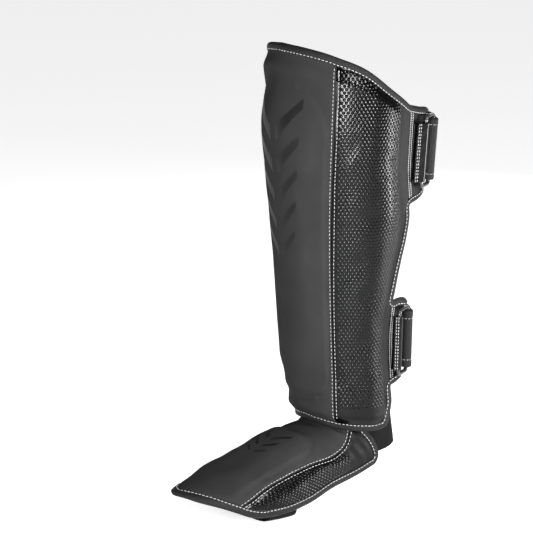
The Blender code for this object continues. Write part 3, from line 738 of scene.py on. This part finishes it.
def fill_by_cloth(part, points, xs, ys, sewn, outward, cap):
    """Blow the skin up between its seams as cloth, and keep how far each point moved outwards.

    points is a grid over xs and ys; outward is 1 or -1, as the grid's faces look out or in.
    """
    rows, columns = points.shape[:2]
    skin = mesh_object(part + "_cloth_test", points.reshape(-1, 3), grid_faces(rows, columns),
                       LOOKS["matte"])
    held = skin.vertex_groups.new(name="sewn")
    held.add([int(k) for k in np.flatnonzero(sewn)], 1.0, "REPLACE")
    cloth = skin.modifiers.new("cloth", "CLOTH")
    settings = cloth.settings
    settings.quality = 6
    settings.mass = 0.25
    settings.tension_stiffness = settings.compression_stiffness = 18
    settings.bending_stiffness = 0.6
    settings.vertex_group_mass = "sewn"
    settings.use_pressure = True
    settings.uniform_pressure_force = 4.0 * outward
    settings.shrink_min = -CLOTH_SLACK
    settings.effector_weights.gravity = 0
    scene = bpy.context.scene
    for frame_number in range(1, CLOTH_FRAMES + 1):
        scene.frame_set(frame_number)
    settled = skin.evaluated_get(bpy.context.evaluated_depsgraph_get()).data
    moved = np.empty(rows * columns * 3, np.float32)
    settled.vertices.foreach_get("co", moved)
    moved = moved.reshape(rows, columns, 3) - points
    normal = unit(np.cross(np.gradient(points, axis=1), np.gradient(points, axis=0)) * outward)
    height = (moved * normal).sum(-1)
    scene.frame_set(1)
    bpy.data.objects.remove(skin)
    for axis in (0, 1, 0, 1, 0, 1):
        height = (np.roll(height, 1, axis) + 2 * height + np.roll(height, -1, axis)) / 4
    SWELL[part] = (xs, ys, cap * np.tanh(height / cap))


def fill_padded_parts():
    """The cloth is held a little wider than its seams and rims, where the foam is pressed flat."""
    u, v = np.linspace(-0.985, 0.985, 99), np.linspace(0.004, 0.996, 81)
    vv, uu = every(v, u)
    sewn = (np.abs(np.abs(uu) - SEAM) < 0.014) | (np.abs(uu) > 0.94) | (vv < 0.02) | (vv > 0.975)
    cap = np.where(np.abs(u) < SEAM, *SWELL_CAPS["shin"])
    fill_by_cloth("shin", on_shin(uu, vv), u, v, sewn, 1, cap)
    c, a = np.linspace(-0.97, 0.97, 61), np.linspace(0.004, 0.996, 71)
    aa, cc = every(a, c)
    across = cc * corner(aa)
    sewn = ((np.abs(np.abs(across) - foot_seam(aa)) < 0.022) | (np.abs(cc) > 0.90) | (aa < 0.03)
            | (aa > 0.95))
    cap = np.where(np.abs(across) < foot_seam(aa), *SWELL_CAPS["instep"])
    fill_by_cloth("instep", on_instep(aa, across), c, a, sewn, -1, cap)


# ---------------------------------------------------------------- the shin part


def spread(first, last, step):
    """Equally spaced places, about a step apart."""
    return np.linspace(first, last, max(int(round(abs(last - first) / step)), 2) + 1)


def make_shin_front():
    v = spread(0.004, 0.996, 0.0033)
    u = spread(-(SEAM - 0.0005), SEAM - 0.0005, 0.0095)
    vv, uu = every(v, u)
    panel = skin_of("shin_front", on_shin(uu, vv), LOOKS["matte"], SKIN)
    placed(panel, "shin", "matte_skin", "shin_front_panel", "shin_foam_core")


def bump_height(x, y, pitch, row):
    """Rounded bumps on a staggered lattice, between 0 and 1."""
    return ease((np.cos(2 * pi * x / pitch) * np.cos(pi * y / row) + 0.10) / 1.02)


def make_shin_side(name, sign, stands_for):
    """A glossy side panel: plain by its seam, rear edge and bottom rim, bumpy between them."""
    v = spread(0.004, 0.996, 0.0015)
    u = spread(SEAM + 0.0005, 0.985, 0.0036)
    vv, uu = every(v, u)
    t, z = shin_place(uu, vv)
    around = metres(off_leg(t, z, 0.006), 1)
    start, full = around[:, :1], around[:, -1:]
    to_edge = full - around
    low_rim = vv * (top_z(uu) - bottom_z(uu))
    high_rim = (1 - vv) * (top_z(uu) - bottom_z(uu))
    inside = (ease((around - start - 0.0032) / 0.002) * ease((to_edge - PLAIN_REAR) / 0.003)
              * ease((low_rim - PLAIN_LOW) / 0.004) * ease((high_rim - 0.0068) / 0.002))
    rear = -0.00024 * ease((PLAIN_REAR + 0.002 - to_edge) / 0.006) * ease(to_edge / 0.004)
    bumps = bump_height(around - start * 0.35, z, BUMP_PITCH, BUMP_ROW)
    points = on_shin(sign * uu, vv, BUMP_HIGH * bumps * inside + rear)
    panel = skin_of(name, points, LOOKS["gloss"], flip=sign < 0)
    say_plain(panel, ease((uu - 0.885) / 0.04))
    placed(panel, "shin", "gloss_skin", stands_for)


def make_shin_lining():
    v = spread(0.004, 0.996, 0.008)
    u = spread(-0.985, 0.985, 0.02)
    vv, uu = every(v, u)
    t, z = shin_place(uu, vv)
    points = off_leg(t, z, 0.0004 + 0.0004 * waves(uu * 9, vv * 20, 7))
    lining = skin_of("shin_inner_cloth", points, LOOKS["lining"], flip=True)
    placed(lining, "shin", "lining_cloth", "shin_lining", "shin_foam_base")


def ear_lift(t, z):
    """How far the free corners of a near ear stand off the leg, above and below its ring."""
    lift = 0.0
    for d in CLOSURES.values():
        root = np.radians(edge_angle(z))
        out = (t - root) / (radians(d["tab_to"]) - root)
        share = np.abs(z - d["z"]) / (d["tab"] / 2)
        lift = lift + d["flare"] * ease((share - 0.66) / 0.26) * ease(out) * (share < 1.4)
    return lift


def ear_outline(d, reach):
    """Free outline of an ear, angles and heights from its top root to its bottom root."""
    height, z = d["tab"], d["z"]
    shares = np.sin(np.linspace(0, pi / 2, 16))
    over = np.maximum(0.0, (shares - 0.35) / 0.65)
    half = height / 2 * (1 - 0.16 * (1 - np.sqrt(np.maximum(0.0, 1 - over ** 2))))
    top = z + half + d["top"] * ease(shares * 2)
    low = z - half + d["root"] * (1 - shares) + d["low"] * ease(shares)
    t_end = radians(d[reach])
    t_top = np.radians(edge_angle(top)) + (t_end - np.radians(edge_angle(top))) * shares
    t_low = np.radians(edge_angle(low)) + (t_end - np.radians(edge_angle(low))) * shares
    down = np.linspace(top[-1], low[-1], 22)[1:-1]
    t = np.concatenate([t_top, np.full(len(down), t_end), t_low[::-1]])
    return t, np.concatenate([top, down, low[::-1]])


def half_outline(reach):
    """Right half of the shin part's outline: top rim, ears and wing edge, bottom rim."""
    parts = []
    u = np.linspace(0, 1, 60)
    parts.append(shin_place(u[:-1], 1 + 0 * u[:-1]))
    level = WING_TOP
    for side in ("upper", "lower"):
        t, z = ear_outline(CLOSURES[side], reach)
        down = np.linspace(level, z[0], 30)[1:-1]
        if z[0] < level - 0.004:
            parts.append((np.radians(edge_angle(down)), down))
        parts.append((t, z))
        level = z[-1]
    down = np.linspace(level, WING_LOW, 12)[1:]
    parts.append((np.radians(edge_angle(down)), down))
    parts.append(shin_place(u[::-1][1:], 0 * u[1:]))
    return np.concatenate([p[0] for p in parts]), np.concatenate([p[1] for p in parts])


def shin_outline():
    """The whole outline of the shin part with its ears: near half down, far half back up."""
    t1, z1 = half_outline("tab_to")
    t2, z2 = half_outline("far_tab_to")
    t = np.concatenate([t1, -t2[::-1][1:-1]])
    z = np.concatenate([z1, z2[::-1][1:-1]])
    path = np.stack([t * LEG_ROUND, z], -1)
    path = resampled(np.concatenate([path, path[:1]]), 0.0016)[:-1]
    path = rounded(path, 5)
    return path[:, 0] / LEG_ROUND, path[:, 1]


def is_ear(t, z):
    """1 on an ear and 0 on the padded part."""
    return ease((np.abs(t) - np.radians(edge_angle(z))) / 0.06 + 0.1)


def lapped(values):
    """Values round a closed outline, with a stretch repeated at each end for its direction."""
    return np.concatenate([values[-LAP:], values, values[:LAP]])


def make_binding(name, place, p, q, top, bottom, body, node_name):
    """Tape folded over a closed outline; top and bottom are the heights of the faces it covers."""
    p, q, top, bottom = lapped(p), lapped(q), lapped(top), lapped(bottom)
    wide, thick = TAPE_WIDE, TAPE_THICK
    section = [     # out past the outline, and height
        (-wide - 0.0001, top - 0.0006), (-wide, top + 0.5 * thick), (-wide + 0.0006, top + thick),
        (-wide + 0.0014, top + 0.8 * thick), (-0.0036, top + 1.05 * thick),
        (-0.0022, top + thick), (-0.0009, top + 0.6 * thick), (0.0002, top - 0.2 * thick),
        (0.0008, top - 0.0012), (0.0010, (top + bottom) / 2), (0.0008, bottom + 0.0012),
        (0.0002, bottom + 0.2 * thick), (-0.0009, bottom - 0.5 * thick),
        (-0.0022, bottom - 0.8 * thick), (-0.0036, bottom - 0.85 * thick),
        (-wide + 0.0006, bottom - 0.7 * thick), (-wide, bottom - 0.4 * thick),
        (-wide - 0.0001, bottom + 0.0006)]
    points = np.array([place(*shift(place, p, q, out), height)[LAP:1 - LAP]
                       for out, height in section])
    points[:, -1] = points[:, 0]
    placed(skin_of(name, points, LOOKS["tape"]), body, "binding_tape", node_name)


def sew_rim(thread, place, p, q, top, bottom):
    """A stitch row through the tape, on its outer and its inner face."""
    p, q = shift(place, lapped(p), lapped(q), -STITCH_IN)
    for height, up in ((lapped(top) + 0.86 * TAPE_THICK, 0.003),
                       (lapped(bottom) - 0.70 * TAPE_THICK, -0.003)):
        line = place(p, q, height)
        thread.sew(line[LAP:-LAP], (place(p, q, height + up) - line)[LAP:-LAP])


def make_shin_rim(thread):
    t, z = shin_outline()
    ear = is_ear(t, z)
    edge = LINING + GAP + EDGE_FOAM + GAP + SKIN
    lift = ear_lift(t, z)
    top = evened(edge + (EAR_TOP - edge) * ear + lift, 12)
    bottom = evened(EAR_LOW * ear + lift, 12)
    make_binding("shin_rim_tape", off_leg, t, z, top, bottom, "shin", "shin_binding")
    sew_rim(thread, off_leg, t, z, top, bottom)


def make_ear(side, d, sign, reach, thread):
    """A thin ear behind the wing's edge, in from its own tape."""
    t, z = ear_outline(d, reach)
    t_end = radians(d[reach])
    rows = np.linspace(z.min() + 0.0012, z.max() - 0.0012, 46)
    order = np.argsort(z)
    right = np.minimum(np.interp(rows, z[order], t[order]), t_end) - 0.010
    left = np.radians(edge_angle(rows)) - 0.045
    share = np.linspace(0, 1, 16)
    tt = left[:, None] + np.maximum(right - left, 0.02)[:, None] * share[None]
    zz = rows[:, None] + 0 * tt
    name = side + ("_near_ear" if sign > 0 else "_far_ear")
    soft = 0.00008 * waves(tt * 60, zz * 400, 4)
    lift = ear_lift(sign * tt, zz)
    points = off_leg(sign * tt, zz, EAR_TOP + 0.0002 + soft + lift)
    ear = skin_of(name, points, LOOKS["gloss"], EAR_SKIN, flip=sign < 0)
    say_plain(ear, 1.0 + 0 * tt)
    placed(ear, "shin", "gloss_skin", side + ("_ring_tab" if sign > 0 else "_strap_tab"))
    line = np.linspace(z.min() + 0.004, z.max() - 0.004, 40)
    for k, slant in ((0.0026, 0.45), (0.0050, -0.45)):
        at = np.radians(edge_angle(line)) + k / half_width(line)
        thread.sew_on(lambda p, q, lift: off_leg(sign * p, q, EAR_TOP + 0.0003 + lift), at, line,
                      long=0.0022, pitch=0.0021, slant=slant)


def sew_shin_seams(thread):
    v = np.linspace(0.030, 0.975, 300)
    for sign in (1, -1):
        for by in (SEAM_ROW, -SEAM_ROW):
            u = sign * (SEAM + by / SHIN_WIDE)
            thread.sew_on(on_shin, u + 0 * v, v, thick=0.00028)


def make_print():
    """Plain tonal chevrons printed on the shin pad, and smaller ones on the instep."""
    aa, ww = every(np.linspace(0, 1, 18), np.linspace(0, 1, 5))
    for sign in (1, -1):
        side = "right" if sign > 0 else "left"
        for index, v0 in enumerate((0.775, 0.690, 0.610, 0.535, 0.465)):
            size = 1 - 0.09 * index
            u = sign * (0.030 + 0.235 * aa * size)
            v = v0 + 0.090 * aa * size + (ww - 0.5) * 0.040 * size * (1 - 0.35 * aa)
            piece = skin_of("print_%d_%s" % (index, side), on_shin(u, v, PRINT_LIFT), LOOKS["print"],
                            flip=sign < 0)
            placed(piece, "shin", "matte_skin")
        for index, a0 in enumerate((0.40, 0.47, 0.53)):
            size = 1 - 0.2 * index
            c = sign * (0.030 + 0.17 * aa * size)
            a = a0 - 0.060 * aa * size + (ww - 0.5) * 0.024 * size
            piece = skin_of("instep_print_%d_%s" % (index, side), on_instep(a, c, PRINT_LIFT),
                            LOOKS["print"], flip=sign > 0)
            placed(piece, "instep", "matte_skin")


# ---------------------------------------------------------------- the closures


def leg_point(t, z, height):
    return off_leg(np.array([t]), np.array([z]), height)[0]


def frame_at(t, z):
    """A flat frame on the leg: a point, and the way round, up and out of it."""
    p = leg_point(t, z, 0.0)
    way_round = unit(leg_point(t + 0.01, z, 0.0) - p)
    out = unit(leg_point(t, z, 0.01) - p)
    return p, way_round, np.cross(out, way_round), out


def arc_to_angle(t, z, length):
    """The angle reached by going the given length round the leg from angle t."""
    steps = 40
    for _ in range(steps):
        here = off_leg(np.array([t, t + 0.001]), np.array([z, z]), 0.005)
        t += length / steps / (np.linalg.norm(here[1] - here[0]) / 0.001)
    return t


class Closure:
    """Where a closure's ring and strap lie."""

    def __init__(self, side, d):
        self.side, self.d, self.z = side, d, d["z"]
        self.half_strap = d["strap"] / 2
        self.mid = radians(d["mid"])
        self.edge = radians(float(edge_angle(self.z)))
        self.p, self.round, self.up, self.out = frame_at(self.mid, self.z)
        self.reach = RING_REACH / 2
        self.bar = STRAP_LIFT + STRAP + RING_PLAY + RING_WIRE
        low_t, high_t = self.mid, self.mid + 1.0
        for _ in range(40):
            self.rear_t = (low_t + high_t) / 2
            self.rear = leg_point(self.rear_t, self.z, self.bar)
            if float(np.dot(self.rear - self.p, self.round)) < self.reach:
                low_t = self.rear_t
            else:
                high_t = self.rear_t
        self.level = float(np.dot(self.rear - self.p, self.out))
        _, self.round_r, _, self.out_r = frame_at(self.rear_t, self.z)
        self.fold = RING_WIRE + RING_PLAY
        self.end_t = radians(d["end"])

    def after(self, length):
        return arc_to_angle(self.rear_t, self.z, length)

    def laid_at(self, t, h, k):
        """A point on the strap's path: on the leg, and straight up and down at the bar."""
        straight = 1 - ease((t - self.rear_t) / 0.9)[..., None]
        a = off_leg(t, self.z + h, k)
        b = off_leg(t, self.z + 0 * h, k) + self.up * h[..., None]
        return a * (1 - straight) + b * straight

    def in_frame(self, t, h):
        q = leg_point(t, self.z, h) - self.p
        return float(np.dot(q, self.round)), float(np.dot(q, self.out))


def band_places(half, steps=26):
    """Places across a band, closer together at its two edges, and how thick it is there."""
    s = np.sin(np.linspace(-pi / 2, pi / 2, steps))
    inward = (1 - np.abs(s)) * half
    thick = np.sqrt(np.clip(1 - (1 - np.clip(inward / 0.0009, 0, 1)) ** 2, 0.03, 1))
    return s * half, thick, inward


def make_ring(c):
    """One bent bar, with its corners round."""
    half = c.d["ring"] / 2 - RING_WIRE
    turn = RING_TURN
    curve = bpy.data.curves.new(c.side + "_ring_bar", "CURVE")
    curve.dimensions = "3D"
    curve.bevel_depth = RING_WIRE
    curve.bevel_resolution = 5
    spline = curve.splines.new("POLY")
    places = []
    for cx, cz, start in ((1, 1, 0), (-1, 1, 90), (-1, -1, 180), (1, -1, 270)):
        for step in range(9):
            a = radians(start + 11.25 * step)
            places.append((cx * (c.reach - turn) + turn * cos(a), cz * (half - turn) + turn * sin(a)))
    spline.points.add(len(places) - 1)
    spline.use_cyclic_u = True
    for point, (a, b) in zip(spline.points, places):
        point.co = (*(c.p + c.round * a + c.up * b + c.out * c.level), 1.0)
    curve.materials.append(LOOKS["ring"])
    placed(add(c.side + "_ring_bar", curve), c.side + "_ring", "ring_plastic", c.side + "_ring")


def smooth_line(points, step):
    """A smooth curve through a few points in a plane, at equal spacing."""
    points = np.array(points)
    for _ in range(3):
        q = points[:-1] * 0.75 + points[1:] * 0.25
        r = points[:-1] * 0.25 + points[1:] * 0.75
        points = np.concatenate([points[:1], np.stack([q, r], 1).reshape(-1, 2), points[-1:]])
    return resampled(points, step)


def make_sleeve(c, thread):
    """Coated fabric folded round the ring's front bar and sewn to the ear."""
    inner = RING_WIRE + 0.0004
    tail_t = c.edge + 0.095
    tab_top = LINING + 0.0027
    path = [c.in_frame(tail_t, tab_top + 0.0006 + SLEEVE)]
    for step in range(17):
        a = radians(-130 + 270 * step / 16)
        path.append((-c.reach + inner * cos(a), c.level + inner * sin(a)))
    path.append(c.in_frame(tail_t + 0.02, tab_top + 0.0012 + SLEEVE * 1.5))
    line = smooth_line(path, 0.0004)
    ahead = unit(np.gradient(line, axis=0))
    normal = np.stack([ahead[:, 1], -ahead[:, 0]], -1)
    hs, thick, _ = band_places(c.d["ring"] / 2 - RING_WIRE - RING_TURN - 0.0012, 40)
    run = metres(line, 0)

    def layer(depth):
        rows = []
        for h, k in zip(hs, thick):
            wrinkle = 0.00005 * np.sin(h * 500 + run * 400) + 0.00003 * np.sin(h * 1300)
            off = 0.5 * SLEEVE + (depth * 0.5 * SLEEVE) * k + (wrinkle if depth > 0 else 0)
            flat = line + normal * np.asarray(off)[..., None] * np.ones((len(line), 1))
            rows.append(c.p + flat[:, :1] * c.round + flat[:, 1:] * c.out + h * c.up)
        return np.array(rows)
    low, high = layer(-1), layer(1)
    sleeve = ribbon(c.side + "_sleeve", low, high, LOOKS["gloss"])
    placed(sleeve, "shin", "gloss_skin", c.side + "_ring_sleeve")
    for index in (-4, -9):
        row = high[2:-2, index]
        thread.sew(row + c.out * 0.0002, np.tile(c.out, (len(row), 1)), long=0.0022, pitch=0.0030)


def make_strap(c, threads):
    """The closure strap from the far ear round the calf to its fold on the rear bar."""
    side = c.side
    far = 2 * pi - radians(c.d["far_tab_to"] - 8.0)
    face = STRAP_LIFT + STRAP
    hs, thick, inward = band_places(c.half_strap)
    ts = np.linspace(far, c.rear_t, 150)
    hem = (0.00018 * ease((0.0075 - inward) / 0.0012)
           - 0.00012 * np.exp(-((inward - HEM_ROW) / 0.0007) ** 2))
    turn = np.radians(-90 - 180 * np.linspace(0, 1, 22)[1:])
    end_lengths = ((0.003, c.bar + c.fold - 0.0004), (0.006, c.bar + c.fold - 0.0016))

    def depths(height):
        """Across places and depths of a face: height is 0 where it meets the bar, 1 on the other."""
        return zip(hs, STRAP * (0.5 + (height - 0.5) * thick) + (hem if height > 0.5 else 0))

    def layer(height):
        rows = []
        for h, depth in depths(height):
            line = [c.laid_at(ts, h + 0 * ts, face - depth + 0 * ts)]
            radius = c.fold + depth
            line.append(c.rear + c.up * h + (radius * np.cos(turn))[:, None] * c.round_r
                        + (radius * np.sin(turn))[:, None] * c.out_r)
            for length, level in end_lengths:
                t = np.array([c.after(length)])
                line.append(c.laid_at(t, h + 0 * t, level + depth + 0 * t))
            rows.append(np.concatenate(line))
        return np.array(rows)
    low, high = layer(0.0), layer(1.0)
    strap = ribbon(side + "_closure_strap", low, high, LOOKS["webbing"])
    placed(strap, "shin", "webbing", side + "_strap")

    laid = [(c.after(0.0067), c.bar + c.fold - 0.0019), (c.after(0.009), c.bar + c.fold - 0.0030),
            (c.after(0.0125), face + 4 * GAP + 2 * PATCH)]
    rest = face + 3 * GAP + 2 * PATCH
    laid += [(t, rest) for t in np.linspace(c.after(0.017), c.end_t, 50)]
    t_end = np.array([k[0] for k in laid])
    k_end = np.array([k[1] for k in laid])

    def end_layer(height):
        rows = []
        for h, depth in depths(height):
            in_corner = np.clip(np.abs(h) - c.half_strap + 0.008, 0, 1) / 0.008
            short = 0.02 * (1 - np.sqrt(np.clip(1 - in_corner ** 2, 0, 1)))
            t = t_end - (t_end - t_end[0]) / (t_end[-1] - t_end[0]) * short / LEG_ROUND * 0.35
            rows.append(c.laid_at(t, h + 0 * t, k_end + depth))
        return np.array(rows)
    end_low, end_high = end_layer(0.0), end_layer(1.0)
    end = ribbon(side + "_free_end", end_low, end_high, LOOKS["webbing"])
    placed(end, side + "_strap_end", "webbing", side + "_strap_end")

    level = np.array([1.0, 1.0, 0.0])       # takes the upright part out of a direction
    row = int(np.argmin(np.abs(inward[: len(inward) // 2] - HEM_ROW)))
    for grid, thread in ((high, threads["shin"]), (end_high, threads[side])):
        for j in (row, grid.shape[0] - 1 - row):
            ups = unit(np.cross(np.gradient(grid[j], axis=0), np.gradient(grid, axis=0)[j]))
            if np.dot(ups[0], grid[j][0] * level) < 0:
                ups = -ups
            thread.sew(grid[j], ups, long=0.0024, pitch=0.0034)
    line = end_high[3:-3, -5]
    threads[side].sew(line, unit(line * level), pitch=0.0034)

    def tape(name, t0, t1, low_height, look, narrow, body, slot, stands_for):
        tt = np.linspace(t0, t1, 60)
        hh = np.linspace(-c.half_strap + narrow, c.half_strap - narrow, 12)
        g_low = np.array([c.laid_at(tt, h + 0 * tt, low_height + 0 * tt) for h in hh])
        g_high = np.array([c.laid_at(tt, h + 0 * tt, low_height + PATCH + 0 * tt) for h in hh])
        placed(ribbon(name, g_low, g_high, look), body, slot, stands_for)
    tape(side + "_loop_tape", c.after(0.014), c.end_t + 0.20, face + GAP, LOOKS["loop"], 0.002,
         "shin", "loop_tape", side + "_loop_patch")
    tape(side + "_hook_tape", c.after(0.018), c.end_t - 0.05, face + PATCH + 2 * GAP, LOOKS["hook"],
         0.004, side + "_strap_end", "hook_tape", side + "_hook_patch")


# ---------------------------------------------------------------- the instep part


def make_instep_panels():
    """The matte front, and a glossy side on either hand whose bumps start clear of its seams."""
    a = spread(0.006, 0.994, 0.0062)
    share = spread(-1, 1, 0.0145)
    aa, ss = every(a, share)
    seam = foot_seam(aa) - 0.002
    points = on_instep(aa, ss * seam)
    front = skin_of("instep_front", points, LOOKS["matte"], SKIN, flip=True)
    placed(front, "instep", "matte_skin", "instep_front_panel", "instep_foam_pad")
    for hand, sign in (("right", 1), ("left", -1)):
        a = spread(0.006, 0.994, 0.0032)
        share = spread(0, 1, 0.020)
        aa, ss = every(a, share)
        near = foot_seam(aa) + 0.002
        far = corner(aa) - 0.012
        cc = near + (np.maximum(far - near, 0.02)) * ss
        flat = off_foot(aa, cc, 0.003)
        out, along = metres(flat, 1), metres(flat, 0)
        full = out[:, -1:]
        inside = (ease((out - 0.0032) / 0.0018) * ease((full - out - 0.0066) / 0.0018)
                  * ease((along - 0.030) / 0.008) * ease((along[-1:] - along - 0.008) / 0.003))
        lift = 0.0004 * bump_height(along, out - full, 0.0040, 0.0028) * inside
        panel = skin_of("instep_side_" + hand, on_instep(aa, sign * cc, lift), LOOKS["gloss"],
                        flip=sign > 0)
        say_plain(panel, 1 - ease((aa - 0.10) / 0.15))
        placed(panel, "instep", "gloss_skin", "instep_side_panel_" + hand)


def make_instep_lining():
    a = spread(0.006, 0.994, 0.013)
    share = spread(-1, 1, 0.03)
    aa, ss = every(a, share)
    cc = ss * (corner(aa) - 0.012)
    points = off_foot(aa, cc, foot_in(aa) + 0.0003 + 0.00025 * waves(aa * 20, cc * 9, 2))
    lining = skin_of("instep_inner_cloth", points, LOOKS["lining"])
    placed(lining, "instep", "lining_cloth", "instep_lining", "instep_foam_base")


def instep_outline():
    """Closed outline of the instep part, in shares along and across."""
    inset = 0.004
    a = inset + (1 - 2 * inset) * (1 - np.cos(np.linspace(0, pi, 120))) / 2
    edge_back = np.linspace(-corner(a[0]), corner(a[0]), 60)[1:-1]
    edge_front = np.linspace(corner(a[-1]), -corner(a[-1]), 70)[1:-1]
    p = np.concatenate([a, np.full(len(edge_front), a[-1]), a[::-1],
                        np.full(len(edge_back), a[0])])
    q = np.concatenate([corner(a), edge_front, -corner(a[::-1]), edge_back])
    path = np.stack([p * FOOT_LONG, q * FOOT_WIDE], -1)
    path = resampled(np.concatenate([path, path[:1]]), 0.0016)[:-1]
    path = rounded(path, 4)
    return path[:, 0] / FOOT_LONG, np.clip(path[:, 1] / FOOT_WIDE, -0.985, 0.985)


def make_instep_rim(thread):
    """Tape round the instep part, as high as the panel under its stitches."""
    a, c = instep_outline()
    wavy = 0.0004 * np.sin(np.arange(len(a)) * 2 * pi / 17) * ease((a - 0.9) / 0.1)
    under = instep_height(*shift(off_foot, lapped(a), lapped(c), -STITCH_IN))[LAP:-LAP]
    top = evened(np.maximum(INSTEP_OUT - INSTEP_EDGE + wavy, under + 0.0002), 4)
    bottom = foot_in(a) + wavy
    make_binding("instep_rim_tape", off_foot, a, c, top, bottom, "instep", "instep_binding")
    sew_rim(thread, off_foot, a, c, top + 0.0002, bottom)


def sew_instep_seams(thread):
    a = np.linspace(0.03, 0.965, 260)
    for sign in (1, -1):
        for by in (INSTEP_SEAM_ROW, -INSTEP_SEAM_ROW):
            thread.sew_on(on_instep, a, sign * (foot_seam(a) + by / FOOT_WIDE), thick=0.00030)


# ---------------------------------------------------------------- what holds the foot


def make_ankle_band():
    """Elastic round the heel, from one rear corner of the instep part to the other."""
    rows = []
    steps = np.linspace(0, pi, 90)
    for k in np.linspace(0, 1, 28):
        z = 0.0550 + 0.0330 * k
        wide = 0.0290 - 0.0050 * k
        deep = 0.0385 - 0.0035 * k
        start = -0.0180 - 0.0070 * k
        x = wide * np.sign(np.cos(steps)) * np.abs(np.cos(steps)) ** 0.85
        y = -0.0050 + deep * np.sin(steps)
        zz = z + 0.003 * np.sin(steps)
        line = np.stack([x, y, zz], -1)
        line = np.concatenate([[(wide - 0.0004, start, z)], line, [(-wide + 0.0004, start, z)]])
        rows.append(in_steps(resampled(line, 0.0012), 110))
    low = np.array(rows)
    outward = unit(np.cross(np.gradient(low, axis=1), np.array([0, 0, 1.0])))
    k = np.linspace(0, 1, len(low))
    thick = np.sqrt(np.clip(1 - (1 - np.clip(np.minimum(k, 1 - k) / 0.03, 0, 1)) ** 2, 0.05, 1))
    high = low + outward * (ANKLE_BAND * thick)[:, None, None]
    band = ribbon("ankle_band", low, high, LOOKS["elastic"])
    placed(band, "instep", "elastic", "ankle_strap")


def make_sole_band():
    """Elastic under the sole, a flat loop between the instep part's two edges."""
    rows = []
    for share in np.linspace(0, 1, 24):
        a = 0.66 + 0.20 * share
        wide = float(side_x(a)) - 0.0074
        y = float(side_y(a))
        top = float(side_z(a)) + 0.002
        f = np.radians(np.linspace(-90, 90, 91))
        x = wide * np.sign(np.sin(f)) * np.abs(np.sin(f)) ** 0.65
        z = top - (top - 0.0072) * np.abs(np.cos(f)) ** 0.55
        rows.append(in_steps(resampled(np.stack([x, y + 0 * x, z], -1), 0.0012), 90))
    low = np.array(rows)
    outward = unit(np.cross(np.gradient(low, axis=1), np.array([0, 1.0, 0])))
    band = ribbon("sole_band", low, low + outward * SOLE_BAND, LOOKS["elastic"])
    placed(band, "instep", "elastic", "sole_strap")


def make_gusset():
    """Elastic sheet between the instep's top edge and the inside of the shin part."""
    xs = np.linspace(-0.024, 0.024, 49)
    shares = np.linspace(0, 0.8, 200)
    edge = on_foot(0 * shares, shares)
    rows = []
    for k in np.linspace(0, 1, 31):
        t = np.arcsin(xs / half_width(GUSSET_TOP))
        head = off_leg(t, GUSSET_TOP + 0 * t, -0.0022)
        foot = np.stack([xs, np.interp(np.abs(xs), edge[:, 0], edge[:, 1]),
                         np.interp(np.abs(xs), edge[:, 0], edge[:, 2]) + 0.0042], -1)
        rows.append(foot + (head - foot) * k)
    sheet = skin_of("ankle_gusset", np.array(rows), LOOKS["elastic"], GUSSET)
    float(metres(np.array(rows), 0)[-1].mean())
    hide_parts("ankle_bridge")
    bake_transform(sheet)


# ---------------------------------------------------------------- floor and light


def make_stage():
    """A pale floor, a dim world and soft lights round the leg."""
    floor_mesh = bpy.data.meshes.new("floor")
    corners = [(-12, -12, 0), (12, -12, 0), (12, 12, 0), (-12, 12, 0)]
    floor_mesh.from_pydata(corners, [], [(0, 1, 2, 3)])
    floor = add("floor", floor_mesh)
    floor.location = (0, 0, FLOOR)
    floor_mesh.materials.append(material("pale_floor", grey(0.85), 0.95, Specular_IOR_Level=0.1,
                                         Emission_Color=(1, 1, 1, 1), Emission_Strength=0.70))
    world = bpy.data.worlds.new("studio")
    bpy.context.scene.world = world
    world.use_nodes = True
    world.node_tree.nodes["Background"].inputs["Color"].default_value = (1.0, 1.0, 1.0, 1.0)
    world.node_tree.nodes["Background"].inputs["Strength"].default_value = 0.13
    for name, azimuth, away, level, wide, high, power in LIGHTS:
        data = bpy.data.lights.new(name, "AREA")
        data.shape = "RECTANGLE"
        data.size, data.size_y = wide, high
        data.energy = power
        light = add(name, data)
        a = radians(azimuth)
        light.location = (sin(a) * away, -cos(a) * away, level)
        aim = Vector((0, 0, 0.30)) - Vector(light.location)
        light.rotation_euler = aim.to_track_quat("-Z", "Y").to_euler()
        light.visible_camera = False
    data = bpy.data.lights.new("top", "SUN")
    data.angle = radians(40)
    data.energy = 0.15
    add("top", data).rotation_euler = (radians(12), radians(8), 0)
    bpy.context.scene.view_settings.view_transform = "Standard"


# ---------------------------------------------------------------- build


def build():
    make_camera()
    make_stage()
    threads = {"shin": Thread("shin_stitches", "shin", LOOKS["thread"]),
               "instep": Thread("instep_stitches", "instep", LOOKS["thread"]),
               "upper": Thread("upper_end_stitches", "upper_strap_end", LOOKS["black_thread"]),
               "lower": Thread("lower_end_stitches", "lower_strap_end", LOOKS["black_thread"])}
    fill_padded_parts()
    make_shin_front()
    make_shin_side("shin_side_right", 1, "shin_side_panel_right")
    make_shin_side("shin_side_left", -1, "shin_side_panel_left")
    make_shin_lining()
    make_shin_rim(threads["shin"])
    sew_shin_seams(threads["shin"])
    make_print()
    for side, d in CLOSURES.items():
        make_ear(side, d, 1, "tab_to", threads["shin"])
        make_ear(side, d, -1, "far_tab_to", threads["shin"])
        c = Closure(side, d)
        make_ring(c)
        make_sleeve(c, threads["shin"])
        make_strap(c, threads)
    make_instep_panels()
    make_instep_lining()
    make_instep_rim(threads["instep"])
    sew_instep_seams(threads["instep"])
    make_ankle_band()
    make_sole_band()
    make_gusset()
    for thread in threads.values():
        thread.finish()


build()
